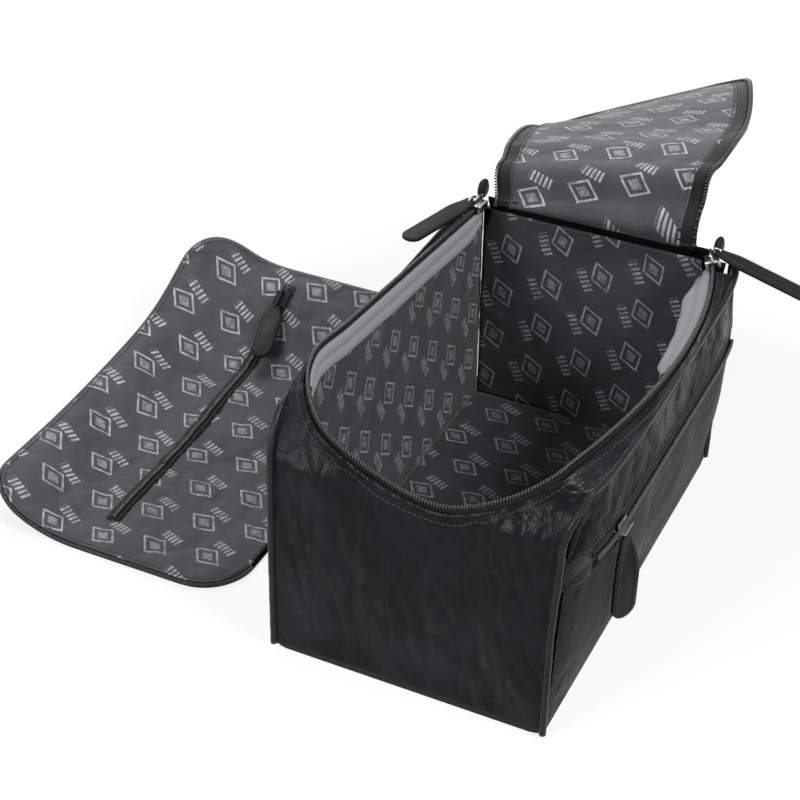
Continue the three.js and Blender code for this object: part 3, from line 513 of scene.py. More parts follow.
def drawn_in(over, radius):
    """How far a rounded corner lies inside a sharp one, at a place along it."""
    return radius - math.sqrt(max(0.0, radius * radius - max(0.0, over) ** 2))


def shoulder_in(z, shoulder):
    radius, start = shoulder
    return drawn_in(z - start, radius)


def near_x(z):
    return -HALF_L + END_LEAN * smooth((z - LEAN_FROM) / LEAN_OVER) + shoulder_in(z, NEAR_SHOULDER)


def far_x(z):
    return HALF_L - END_LEAN * 0.5 * smooth((z - LEAN_FROM) / LEAN_OVER) - shoulder_in(z, FAR_SHOULDER)


def pipe_top(side, x):
    return PIPE_TOP[side] - PIPE_SAG * (1 - (x / HALF_L) ** 2)


def rim_arc(turn):
    bow = vec(0, -math.cos(RIM_TILT), math.sin(RIM_TILT))
    centre = RIM_CHORD + bow * (RIM_SAGITTA - RIM_RADIUS)
    return centre + bow * RIM_RADIUS * math.cos(turn) + vec(RIM_RADIUS * math.sin(turn), 0, 0)


def centripetal(points, per_span):
    """A smooth curve through all the points, with even steps per span."""
    pts = [np.array(p, float) for p in points]
    pts = [2 * pts[0] - pts[1]] + pts + [2 * pts[-1] - pts[-2]]
    out = []
    for i in range(1, len(pts) - 2):
        near = pts[i - 1:i + 3]
        knots = [0.0]
        for a, b in zip(near, near[1:]):
            knots.append(knots[-1] + np.linalg.norm(b - a) ** 0.5)
        for k in range(per_span):
            t = mix(knots[1], knots[2], k / per_span)
            row = near
            for reach, first in ((1, 0), (2, 0), (1, 1)):
                row = [mix(a, b, (t - knots[first + j]) / (knots[first + j + reach] - knots[first + j]))
                       for j, (a, b) in enumerate(zip(row, row[1:]))]
            out.append(row[0])
    return np.array(out + [pts[-2]])


def rim_place(x, y, z):
    return vec(x * HALF_L, y * HALF_W, z * HEIGHT)


def make_rim():
    points = [mix(RIM_BACK_FAR, RIM_BACK_NEAR, i / 6) for i in range(7)]
    points += [rim_place(*shares) for shares in NEAR_RIM_SHARES]
    half_turn = math.asin(RIM_HALF_CHORD / RIM_RADIUS)
    points += [rim_arc(mix(-half_turn, half_turn, i / 10)) for i in range(11)]
    return centripetal(points, 24)


RIM = make_rim()


def pipe_path(side):
    """The piping's centre line, up the near edge, along the top and down the far edge."""
    def point(x, z):
        return vec(x, face_y(side, x, z), z)

    heights = np.linspace(EDGE_LOW, EDGE_HIGH, 40)
    near = [point(near_x(z), z) for z in heights]
    far = [point(far_x(z), z) for z in heights[::-1]]
    top = [point(x, pipe_top(side, x)) for x in np.linspace(near[-1][0] + 6 * MM, far[0][0] - 6 * MM, 60)]
    return centripetal(near + top + far, 2)


PIPES = {-1: pipe_path(-1), 1: pipe_path(1)}


# Soft pieces, with the spacing of their swells and of their two sizes of crease
SWELLS, CREASES, FINE_CREASES = 0.045, 0.030, 0.014


def creases(p, scale, seed=0.0):
    """Sharp-valleyed folds, from 0 on the ridges down to -1 in the valleys."""
    q = Vector(p) / scale + Vector((seed, seed * 1.7, -seed))
    value = noise.fractal(q, 1.0, 2.0, 3, noise_basis="PERLIN_NEW")
    return -((1 - min(1.0, abs(value) * 2.2)) ** 2)


def rumple(p, big, fine, stretch=(1, 1, 1), seed=0.0):
    """How far a soft point moves: broad swells of size big and creases of size fine."""
    q = Vector([c * s for c, s in zip(p, stretch)])
    swell = noise.noise(q / SWELLS + Vector((seed, 3.1, 0)))
    folds = fine * creases(q, CREASES, seed + 5)
    return big * swell + folds + 0.4 * fine * creases(q, FINE_CREASES, seed + 9)


def displace(obj, moves):
    """Moves each vertex along its normal by its own distance."""
    vertices = obj.data.vertices
    normals = [v.normal.copy() for v in vertices]
    for vertex, normal, move in zip(vertices, normals, moves):
        vertex.co += normal * move
    obj.data.update()


def soft(node, name, material, body="bag", cuts=1, bevel=0.0, move=None, smooth_cuts=0, flat=None):
    """A softened stand-in for a solid: rounded edges, more faces, and folds."""
    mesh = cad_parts[node].data.copy()
    mesh.materials.clear()
    obj = link(name, mesh, material)
    obj.modifiers.new("weld", "WELD").merge_threshold = 0.02 * MM
    if bevel > 0:
        round_edges(obj, bevel, 3, 40)
    if cuts:
        more = obj.modifiers.new("more", "SUBSURF")
        more.subdivision_type = "SIMPLE"
        more.levels = cuts
    if smooth_cuts:
        more = obj.modifiers.new("round", "SUBSURF")
        more.levels = smooth_cuts
    bake(obj)
    if flat:
        lay_flat(obj, flat)
    if move:
        displace(obj, [move(v.co) for v in obj.data.vertices])
    return rides(obj, body, node)


def lay_flat(obj, flat):
    """Gives a piece its flat layout in metres, from each vertex's place."""
    mesh = obj.data
    layer = mesh.uv_layers.get("flat") or mesh.uv_layers.new(name="flat")
    layer.active = True
    for loop in mesh.loops:
        layer.data[loop.index].uv = flat(mesh.vertices[loop.vertex_index].co)


# The near end and the strips up to the rim: one soft skin between the piping and the rim
SKIN_FAR = 0.106
SKIN_ROWS = 40
SKIN_THICK = 1.2 * MM
SKIN_OUT, SKIN_DROP = 2.2 * MM, 3.6 * MM
SKIN_CENTRE = vec(0, 2 * MM, 0.1)
SEAM_DROP = 4.2 * MM
# Its bow, swells and creases along the sides and at the near end, and the deepest fold
SKIN_BOWS = (1.8 * MM, 0.8 * MM)
SKIN_SWELLS = (0.8 * MM, 2.2 * MM)
SKIN_CREASES = (0.7 * MM, 0.9 * MM)
SKIN_DEEPEST = 1.4 * MM
# The near end's face gives way to the shoulder over this height
END_TOP, END_FADE = 118 * MM, 16 * MM
END_BOW = 1.2 * MM


def nearest(path, point):
    return int(np.argmin(np.linalg.norm(path - point, axis=1)))


def matched(path, marks, counts):
    """Points along a path, with a given count between each mark and the next."""
    at = [nearest(path, mark) for mark in marks]
    parts = [even_points(path[a:b + 1], count + 1)[:-1] for a, b, count in zip(at, at[1:], counts)]
    return np.concatenate(parts + [path[at[-1]:][:1]])


def skin_edges():
    """Matching points along the outer edge and along the rim, from front to back."""
    front, back = PIPES[-1][::-1], PIPES[1]
    x = SKIN_FAR
    far_front, far_back = [nearest(pipe, vec(x, face_y(side, x, 0.142), pipe_top(side, x)))
                           for side, pipe in ((-1, front), (1, back))]
    bottom = [vec(near_x(EDGE_LOW), y, EDGE_LOW) for y in np.linspace(-HALF_W, HALF_W, 60)]
    outer = np.concatenate([front[far_front:], bottom, back[:far_back + 1]])
    low = NEAR_SHOULDER[1]
    marks = [
        outer[0], vec(-0.104, -0.08, 0.1445), vec(near_x(low), -0.09, low), bottom[0], bottom[-1],
        vec(near_x(low), 0.082, low), vec(-0.104, 0.08, 0.1435), outer[-1],
    ]
    inner_marks = [
        vec(SKIN_FAR, -0.075, 0.15), vec(-0.095, -0.069, 0.1473),
        rim_place(-0.917, -0.584, 0.882), rim_place(-0.953, -0.27, 0.81),
        rim_place(-0.943, 0.2, 0.836), rim_place(-0.886, 0.714, 0.934),
        RIM_BACK_NEAR, vec(SKIN_FAR, 0.0725, 0.1465),
    ]
    counts = [84, 26, 44, 56, 44, 26, 84]
    return matched(outer, marks, counts), matched(RIM[::-1], inner_marks, counts)


def evened(points, rounds):
    for _ in range(rounds):
        points[1:-1] = (points[:-2] + 2 * points[1:-1] + points[2:]) / 4
    return points


def make_skin():
    low, high = skin_edges()
    high = evened(high.copy(), 6)
    row = len(low)
    points = []
    for v in np.linspace(0, 1, SKIN_ROWS + 1):
        rise = math.sin(math.pi * v)
        for outer, inner in zip(low, high):
            away = unit((inner - SKIN_CENTRE) * vec(1, 1.2, 0))
            p = mix(outer, inner + away * SKIN_OUT - UP * SKIN_DROP, v)
            p = p + away * rise * mix(*SKIN_BOWS, smooth((-p[0] - 0.09) / 0.035))
            end = smooth((-p[0] - 0.1) / 0.015) * (1 - smooth((v - 0.78) / 0.22))
            end *= 1 - smooth((p[2] - END_TOP) / END_FADE)
            p[0] = mix(p[0], near_x(min(p[2], EDGE_HIGH)) - END_BOW * rise, end)
            points.append(p)
    obj = face_out(mesh_piece("end_skin", points, grid_faces(row - 1, SKIN_ROWS), BODY))
    vertices = obj.data.vertices
    if obj.data.polygons[0].normal.dot(Vector((0, -1, 0.6))) < 0:
        obj.data.flip_normals()
    moves = []
    for k, vertex in enumerate(vertices):
        v = (k // row) / SKIN_ROWS
        near = smooth((-vertex.co.x - 0.08) / 0.04)
        fine = mix(*SKIN_CREASES, near) * (0.25 + 0.75 * smooth((1 - v) / 0.55))
        stretch = (1.0, mix(1.0, 1.5, near), mix(1.0, 0.55, near))
        folds = rumple(vertex.co, mix(*SKIN_SWELLS, near), fine, stretch, 2.0)
        moves.append(max(between(v, 0.10, 0.16) * folds, -SKIN_DEEPEST))
    displace(obj, moves)
    seam = []
    for i in range(row):
        gone, j = 0.0, SKIN_ROWS
        while gone < SEAM_DROP and j > 1:
            gone += (vertices[j * row + i].co - vertices[(j - 1) * row + i].co).length
            j -= 1
        seam.append(np.array(vertices[j * row + i].co))
    thicken(obj, SKIN_THICK, -1.0)
    sew("rim_stitches", obj, evened(np.array(seam), 3))
    rides(obj, "bag", "near_end_panel", "front_top_strip", "back_top_strip")


def panel_move(big, fine, stretch, seed, low, high, fade):
    """Folds that die out towards a panel's lower and upper edge."""
    def move(p):
        hold = smooth((p.z - low) / fade) * smooth((high - p.z) / fade)
        return hold * rumple(p, big, fine, stretch, seed)
    return move


# Each panel: solid, piece, material, cuts, and its folds as panel_move takes them
PANELS = [
    ("front_yoke", "yoke_leather", YOKE, 3, (2.0 * MM, 0.9 * MM, (0.9, 1, 0.7), 11, 0.110, 0.145, 6 * MM)),
    ("front_pocket_panel", "pocket_leather_panel", PANEL, 3,
     (1.6 * MM, 0.6 * MM, (0.8, 1, 0.6), 17, 0.0, 0.098, 12 * MM)),
    ("back_panel", "back_leather_panel", BODY, 2,
     (1.6 * MM, 0.8 * MM, (0.8, 1, 0.8), 23, 0.012, 0.140, 12 * MM)),
    ("far_end_panel", "far_leather_panel", BODY, 3,
     (1.4 * MM, 0.7 * MM, (1, 1, 0.8), 29, 0.0, 0.138, 12 * MM)),
]
YOKE_SEAM, POCKET_SEAM, SEAM_ENDS = 113.5 * MM, 95 * MM, 0.122
PATCH_THICK = 1.0 * MM
TAB_SWELL = 1.4 * MM
# Patches: the rim's corners as spans of y, and the pocket's ends as spans of x
RIM_CORNERS = {"back": (0.0575, 0.0705), "front": (-0.0700, -0.0560)}
POCKET_ENDS = {"near": (-0.1306, -0.1095), "far": (0.1095, 0.1312)}


def make_body():
    make_skin()
    panels = {solid: soft(solid, name, material, cuts=cuts, move=panel_move(*folds))
              for solid, name, material, cuts, folds in PANELS}
    for name, ends in RIM_CORNERS.items():
        def corner(u, v, ends=ends):
            return vec(mix(0.1300, 0.1262, smooth(v)), mix(*ends, u), mix(0.1365, 0.1468, v))
        rides(sheet("rim_corner_" + name, (8, 8), corner, BODY, PATCH_THICK, (0.013, 0.011), True), "bag")
    for name, ends in POCKET_ENDS.items():
        def bridge(u, v, ends=ends):
            x, z = mix(*ends, u), mix(0.094, 0.114, v)
            return vec(x, face_y(-1, x, z) + 0.5 * MM, z)
        rides(sheet("pocket_end_" + name, (16, 14), bridge, BODY, PATCH_THICK, (0.02, 0.02), True), "bag")
    for name, solid, z in (("yoke_stitches", "front_yoke", YOKE_SEAM),
                           ("pocket_stitches", "front_pocket_panel", POCKET_SEAM)):
        path = [vec(x, face_y(-1, x, z) - 4 * MM, z) for x in np.linspace(-SEAM_ENDS, SEAM_ENDS, 60)]
        sew(name, panels[solid], path)
    wall = soft("pocket_back_wall", "pocket_wall_cloth", INNER_LINING, flat=lambda p: (p.x, p.z))
    soft("bottom_panel", "bottom_leather_panel", BOTTOM, bevel=0.8 * MM)
    soft("hinge_strip", "hinge_leather", BODY, cuts=2, bevel=0.4 * MM,
         move=lambda p: rumple(p, 0.3 * MM, 0.3 * MM, seed=31))
    soft("handle_strap", "handle_leather", BODY, cuts=2, bevel=0.9 * MM,
         move=lambda p: rumple(p, 0.3 * MM, 0.25 * MM, seed=37))
    for side, end in ((-1, "front"), (1, "back")):
        cord = cord_mesh("piping_" + end, resample(PIPES[side], 2.0 * MM), PIPE_RADIUS, PIPING, 14)
        displace(cord, [0.18 * MM * noise.noise(v.co / 0.006) for v in cord.data.vertices])
        rides(cord, "bag", end + "_piping")
        soft("zip_end_tab_" + end, "rim_tab_" + end, PULLER, cuts=0, smooth_cuts=3, move=lambda p: TAB_SWELL)
    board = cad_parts["base_board"].data.materials
    board.clear()
    board.append(BOARD)


# The main room's lining: its far, near, back and front faces and its floor
ROOM_FAR, ROOM_NEAR, ROOM_BACK, ROOM_FRONT = 0.1268, -0.1262, 0.0725, -0.0655
ROOM_LOW = 6.6 * MM
ROOM_MARKS = [vec(0.119, 0.072, 0.146), vec(-0.102, 0.071, 0.151),
              vec(-0.106, -0.066, 0.147), vec(0.117, -0.07, 0.147)]
ROOM_COUNTS = (100, 70, 100)
ROOM_ROWS = 40
# Cut sizes: the floor and the far end
FLOOR_SIZE = (0.254, 0.14)
FAR_SIZE = (0.138, 0.134)
LINING_THICK = 0.5 * MM


def make_inside_walls():
    corners = np.array([vec(x, y, ROOM_LOW) for x, y in (
        (ROOM_FAR, ROOM_BACK), (ROOM_NEAR, ROOM_BACK), (ROOM_NEAR, ROOM_FRONT), (ROOM_FAR, ROOM_FRONT))])
    low = evened(matched(corners, corners, ROOM_COUNTS), 20)
    high = evened(matched(RIM, ROOM_MARKS, ROOM_COUNTS), 6)
    run = run_of(low)
    points, uvs = [], []
    for v in np.linspace(0, 1, ROOM_ROWS + 1):
        for i, (foot, head) in enumerate(zip(low, high)):
            inward = unit((vec(0, 0, 0.1) - head) * vec(1, 1.2, 0))
            top = head + inward * 1.3 * MM - UP * 4 * MM
            p = mix(foot, top, v) - inward * 3.5 * MM * math.sin(math.pi * v)
            folds = rumple(Vector(p), 1.6 * MM, 1.0 * MM, (1, 1, 0.45), 61) + 0.6 * MM
            points.append(p + inward * between(v, 0.08, 0.1) * max(0.0, folds))
            uvs.append((run[i], p[2]))
    faces = [(a, d, c, b) for a, b, c, d in grid_faces(len(low) - 1, ROOM_ROWS)]
    obj = thicken(mesh_piece("inside_wall_cloth", points, faces, INNER_LINING, uvs), LINING_THICK)
    rides(obj, "bag", "lining_back", "lining_near", "lining_front")


def make_inside_flats():
    def floor(u, v):
        p = vec(mix(-0.127, 0.1274, u), mix(-0.0665, 0.0735, v), 6.2 * MM)
        p[2] += max(0.0, rumple(Vector(p), 0.5 * MM, 0.5 * MM, (1, 1, 1), 71))
        return p

    def far(u, v):
        y, z = mix(ROOM_FRONT, ROOM_BACK, u), mix(6.3 * MM, 0.1395, v)
        narrow = 1 - 0.06 * smooth((z - 0.12) / 0.02)
        folds = max(0.0, rumple(Vector((y, z, 0)), 1.2 * MM, 1.0 * MM, seed=73))
        return vec(0.1272 - 2 * MM * v - between(v, 0.08, 0.08) * folds, y * narrow, z)

    for name, solid, counts, surface, flat, size, held, on in (
            ("inside_floor_cloth", "lining_floor", (90, 50), floor, FLOOR_SIZE, FLOOR_SIZE,
             "laid", "base_board"),
            ("inside_far_cloth", "lining_far", (60, 56), far, (0.138, 0.133), FAR_SIZE,
             "hung", "hinge_leather")):
        obj = sheet(name, counts, surface, INNER_LINING, LINING_THICK, flat)
        rides(obj, "bag", solid)


def make_inside():
    make_inside_walls()
    make_inside_flats()
    make_facing("pale_back_facing", "back_facing", RIM_BACK_FAR * vec(0.95, 1, 1),
                vec(-0.098, 0.072, 0.151), 1 * MM)
    make_facing("pale_front_facing", "front_facing", vec(0.0, -0.089, 0.154),
                vec(0.112, -0.073, 0.149), 13 * MM)


FACING_TALL = 15 * MM
FACING_STEP = 2 * MM
FACING_ROWS = 10


def make_facing(name, node, a, b, lean_in):
    """A pale woven band that hangs from the rim inside, doubled, with a seam along its middle."""
    start, end = sorted(nearest(RIM, p) for p in (a, b))
    path = resample(RIM[start:end + 1], FACING_STEP)
    last = len(path) - 1
    points, uvs = [], []
    for i, p in enumerate(path):
        inward = unit(np.cross(UP, unit(path[min(last, i + 1)] - path[max(0, i - 1)])))
        if inward[1] * p[1] > 0:
            inward = -inward
        fade = smooth(min(i, last - i) / 9)
        wave = 0.5 * MM * noise.noise(Vector(p) / 0.012)
        for v in np.linspace(0, 1, FACING_ROWS + 1):
            puff = 1.1 * MM * abs(math.sin(2 * math.pi * v)) ** 0.7
            at = p + inward * (1.2 * MM + lean_in * v * mix(0.5, 1, fade) + puff + wave * v)
            points.append(at - UP * (3.5 * MM + FACING_TALL * v * mix(0.7, 1, fade)))
            uvs.append((i * FACING_STEP, v * FACING_TALL))
    obj = thicken(mesh_piece(name, points, grid_faces(FACING_ROWS, last), FACING, uvs), 0.6 * MM)
    rides(obj, "bag", node)


FLOOR_SHADE, FLOOR_GLOW = (0.86, 0.86, 0.86), 0.78
WORLD_LIGHT, WORLD_SEEN = 0.3, 1.0


def make_stage():
    bpy.ops.mesh.primitive_plane_add(size=8, location=(0, 0, 0))
    floor = bpy.context.object
    floor.name = "floor"
    n = Nodes("floor_white")
    n.finish(FLOOR_SHADE, 0.9)
    glow = n.add("Emission", {"Color": (1, 1, 1)})
    n.blend(n.math("MULTIPLY", n.seen(), FLOOR_GLOW), glow)
    floor.data.materials.append(n.made)


# Each light: name, place, what it points at, size and power
LIGHTS = [
    ("key", (-0.25, -1.1, 1.3), (0, 0, 0.08), 0.55, 26),
    ("left", (-1.3, 0.6, 0.9), (0, 0, 0.08), 0.6, 17),
    ("back", (0.9, 0.9, 1.3), (0, 0, 0.1), 0.6, 16),
]


def make_light(name, at, to, size, power):
    data = bpy.data.lights.new(name, "AREA")
    data.shape = "DISK"
    data.size = size
    data.energy = power
    lamp = bpy.data.objects.new(name, data)
    lamp.location = at
    lamp.rotation_euler = (Vector(to) - Vector(at)).to_track_quat("-Z", "Y").to_euler()
    bpy.context.scene.collection.objects.link(lamp)


def make_world():
    """White where it is seen, and a weaker light on everything else."""
    world = bpy.data.worlds.new("white")
    bpy.context.scene.world = world
    n = Nodes("white", world, "OutputWorld", "Background")
    n.put(n.shader.inputs["Strength"], WORLD_LIGHT)
    n.blend(n.seen(), n.add("Background", {"Strength": WORLD_SEEN}))
    bpy.context.scene.view_settings.view_transform = "Standard"


# The lid: flat as when shut, then turned open about its four folds
LID_LONG = 243 * MM
LID_HALF = 62.5 * MM
LID_CENTRE = 4 * MM
LID_BORDER = 9 * MM
LID_SLIDER_ROOM = 2.4 * MM
LID_ROUND = 32 * MM
LID_STRAIGHT = LID_LONG - LID_ROUND
LID_BOWS = {-1: 12 * MM, 1: 4 * MM}
LID_AT = vec(124, 4, 147) * MM
# Each fold: its place along the lid, where it starts and ends, and its turn in degrees about x, y, z
LID_FOLDS = [
    (0, (-2, 14), (-8, 119, -12)), (28, (16, 42), (0, 54, 0)),
    (58, (44, 78), (-1, 16, -11)), (140, (90, 190), (10.5, 8.5, 0)),
]
LID_STEPS = ["base", "arch", "middle", "end"]
LID_CUTS = [0, 15 * MM, 43 * MM, 84 * MM, 1]
LID_GRID = (120, 44)
LID_SWELL = 1.4 * MM


def lid_point(s, y, lift=0.0):
    p = Vector((LID_AT[0] - s, y, LID_AT[2] + lift))
    for place, (start, end), turn in reversed(LID_FOLDS):
        share = smooth((s / MM - start) / (end - start))
        if share <= 0:
            continue
        axis = Vector(turn)
        pivot = Vector((LID_AT[0] - place * MM, LID_AT[1], LID_AT[2]))
        p = Matrix.Rotation(math.radians(axis.length) * share, 3, axis.normalized()) @ (p - pivot) + pivot
    return np.array(p)


def lid_half(s, side, inset=0.0):
    half = LID_HALF + LID_BOWS[side] * math.sin(math.pi * clamp(s / LID_STRAIGHT)) ** 0.8 - inset
    if side > 0:
        half -= LID_SLIDER_ROOM * (1 - smooth((s - 34 * MM) / (22 * MM)))
    return half - drawn_in(s - LID_STRAIGHT, LID_ROUND - inset)


def lid_edge(inset):
    """The outline as (s, y) points, from the hinge along the front, round the end and back."""
    turns = np.linspace(0, math.pi / 2, 24)[1:]
    run = np.concatenate([np.linspace(3 * MM, LID_STRAIGHT, 100),
                          LID_STRAIGHT + (LID_ROUND - inset) * np.sin(turns)])
    front, back = [[(s, LID_CENTRE + side * lid_half(s, side, inset)) for s in run] for side in (-1, 1)]
    return front + back[::-1]


def path_frames(edge, place, pitch, lift):
    """Frames at even steps along an edge on a curved sheet, with the edge place of each."""
    flat = resample(edge, pitch)
    frames = []
    for before, p, after in zip(flat, flat[1:], flat[2:]):
        at = place(*p, lift)
        along = unit(place(*after, lift) - place(*before, lift))
        up = unit(place(*p, lift + MM) - at)
        side = unit(np.cross(up, along))
        frames.append((at, along, side, np.cross(along, side), p[0]))
    return frames


def close_ends(obj):
    """Fills the open cuts of a sheet that has a thickness."""
    mesh = bmesh.new()
    mesh.from_mesh(obj.data)
    bmesh.ops.edgeloop_fill(mesh, edges=[edge for edge in mesh.edges if edge.is_boundary])
    mesh.to_mesh(obj.data)
    mesh.free()


def split_sheet(obj, name):
    """Cuts a finished sheet of the lid into its stretches, with smooth shading over the cuts."""
    mesh = obj.data
    layer = mesh.uv_layers["flat"].data
    normals = [v.normal.copy() for v in mesh.vertices]
    groups = [[] for _ in LID_STEPS]
    for face in mesh.polygons:
        s = sum(layer[k].uv[0] for k in face.loop_indices) / face.loop_total
        groups[next(k for k, end in enumerate(LID_CUTS[1:]) if s < end)].append(face)
    out = []
    for part, faces in zip(LID_STEPS, groups):
        places = {}
        for face in faces:
            for v, loop in zip(face.vertices, face.loop_indices):
                places.setdefault(v, tuple(layer[loop].uv))
        index = {v: k for k, v in enumerate(places)}
        piece = mesh_piece(f"{name}_{part}", [mesh.vertices[v].co for v in index],
                           [[index[v] for v in face.vertices] for face in faces],
                           mesh.materials[0], list(places.values()))
        close_ends(piece)
        piece.data.normals_split_custom_set_from_vertices([normals[v] for v in index])
        out.append(piece)
    bpy.data.objects.remove(obj)
    return out


def ride_lid(piece, stretch):
    """Bakes the place of a piece of the lid into its mesh; the ends of the fold that it crosses are found,
    but nothing uses them.
    """
    _, (start, end), _ = LID_FOLDS[stretch]
    a = LID_AT - vec(0, 0, 2 * MM) if start < 0 else lid_point(start * MM, LID_CENTRE)
    b = lid_point(end * MM, LID_CENTRE)
    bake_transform(piece)


def lid_sheet(name, inset, lift, thick, material, fine):
    def place(u, v):
        s = mix(1.5 * MM, LID_LONG - inset - 0.02 * MM, 1 - (1 - u) ** 1.15)
        return s, mix(-lid_half(s, -1, inset), lid_half(s, 1, inset), v)

    def surface(u, v):
        s, y = place(u, v)
        y += LID_CENTRE
        q = Vector((s, y, 0))
        swell = LID_SWELL * noise.noise(q / 0.05 + Vector((7, 0, 0))) + fine * creases(q, 0.035, 3)
        inner = min(v, 1 - v, (1 - u) * 2) * 2
        hold = smooth(inner / 0.35) * smooth((s - 4 * MM) / (12 * MM))
        return lid_point(s, y, lift + swell * hold)

    return sheet(name, LID_GRID, surface, material, thick, place)


def by_stretch(frames):
    return [[f for f in frames if start <= f[4] < end] for start, end in zip(LID_CUTS, LID_CUTS[1:])]


def make_lid():
    for name, solid, inset, lift, thick, material, fine, held in (
            ("lid_cloth", "leather", 0.0, 0.2 * MM, 1.5 * MM, BODY, 0.8 * MM, "draped"),
            ("lid_print", "lining", LID_BORDER, -1.5 * MM, 0.5 * MM, LINING, 0.6 * MM, "stretched")):
        whole = lid_sheet(name, inset, lift, thick, material, fine)
        for k, piece in enumerate(split_sheet(whole, name)):
            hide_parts(f"lid_{LID_STEPS[k]}_{solid}")
            ride_lid(piece, k)
    bands = split_sheet(lid_band(0.6 * MM, LID_BORDER + 2.3 * MM, -1.05 * MM), "lid_tape")
    teeth = by_stretch(path_frames(lid_edge(0.4 * MM), lid_point, TOOTH_PITCH, -1.9 * MM))
    thread = by_stretch(path_frames(lid_edge(LID_BORDER + 1.6 * MM), lid_point, 3.0 * MM, -2.05 * MM))
    for k, part in enumerate(LID_STEPS):
        row = bars("lid_teeth_" + part, (TOOTH_LONG, 2.5 * MM, 1.5 * MM), teeth[k], COIL)
        halves = ("half",) if part == "end" else ("front", "back")
        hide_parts(*(f"lid_{part}_zip_{half}" for half in halves))
        sewn = bars("lid_stitches_" + part, LOW_STITCH, thread[k], THREAD)
        for piece in (row, sewn, bands[k]):
            ride_lid(piece, k)


def lid_band(outer, inner, lift):
    """The black tape round the lid's edge."""
    a = resample(lid_edge(outer), 2 * MM)
    b = even_points(np.array(lid_edge(inner)), len(a))
    places = [mix(p, q, k / 3) for k in range(4) for p, q in zip(a, b)]
    points = [lid_point(*place, lift) for place in places]
    return thicken(mesh_piece("lid_tape", points, grid_faces(len(a) - 1, 3), TAPE, places), 0.6 * MM)


# The back compartment's cover, open on the ground
COVER_NEAR, COVER_FAR = -112 * MM, 150 * MM
COVER_INNER, COVER_OUTER = 117 * MM, 281 * MM
COVER_ROUND = 30 * MM
COVER_CURLS = (42 * MM, 18 * MM)
COVER_FOLDS = 1.5 * MM
COVER_ZIP = (-84 * MM, 136 * MM, 209 * MM)
COVER_GRID = (110, 70)


def cover_height(x, y):
    """The curl: tight at the hinge side, slower where the cover is free, and up at the outer edge."""
    tight = smooth((x - COVER_FAR + 112 * MM) / (112 * MM)) ** 2
    slow = max(0.0, (x + 40 * MM) / (COVER_FAR + 40 * MM)) ** 1.6
    out = smooth((y - COVER_OUTER + 76 * MM) / (76 * MM)) ** 2
    free = smooth((y - COVER_INNER + 6 * MM) / (50 * MM))
    return COVER_CURLS[0] * mix(tight, mix(tight, slow, 0.5), free) + COVER_CURLS[1] * out


def on_cover(x, y, lift=0.0):
    step = 2 * MM
    slope_x = (cover_height(x + step, y) - cover_height(x - step, y)) / (2 * step)
    slope_y = (cover_height(x, y + step) - cover_height(x, y - step)) / (2 * step)
    return vec(x, y, cover_height(x, y)) + unit(vec(-slope_x, -slope_y, 1)) * lift


def cover_reach(x, inset):
    over = COVER_ROUND + max(COVER_NEAR - x, x - COVER_FAR)
    cut = inset + drawn_in(over, COVER_ROUND - inset)
    return COVER_INNER + cut, COVER_OUTER - cut


def cover_edge(inset):
    """The outline as (x, y) points, from the inner near corner round the outer side."""
    r = COVER_ROUND - inset
    near, far = COVER_NEAR + COVER_ROUND, COVER_FAR - COVER_ROUND
    low, high = COVER_INNER + COVER_ROUND, COVER_OUTER - COVER_ROUND
    path = []
    for k, (x, y) in enumerate(((near, low), (near, high), (far, high), (far, low))):
        turns = -math.pi / 2 * (k + 1 + np.linspace(0, 1, 14))
        path += [(x + r * math.cos(t), y + r * math.sin(t)) for t in turns]
    return path


def cover_swell(x, y, fine):
    q = Vector((x, y, 0))
    folds = creases(Vector((x + 0.4 * y, y - 0.3 * x, 0)), 0.05, 13)
    return 1.5 * MM * (noise.noise(q / 0.055) + 0.4) + fine * (folds + 0.5) + 0.4 * fine * creases(q, 0.02, 4)


def cover_sheet(name, inset, lift, thick, material, fine):
    def place(u, v):
        x = mix(COVER_NEAR + inset, COVER_FAR - inset, mix(u, (1 - math.cos(math.pi * u)) / 2, 0.75))
        return x, mix(*cover_reach(x, inset), v)

    def surface(u, v):
        x, y = place(u, v)
        hold = smooth(min(u, 1 - u, v, 1 - v) / 0.07)
        return on_cover(x, y, lift + hold * cover_swell(x, y, fine))

    return sheet(name, COVER_GRID, surface, material, thick, place)


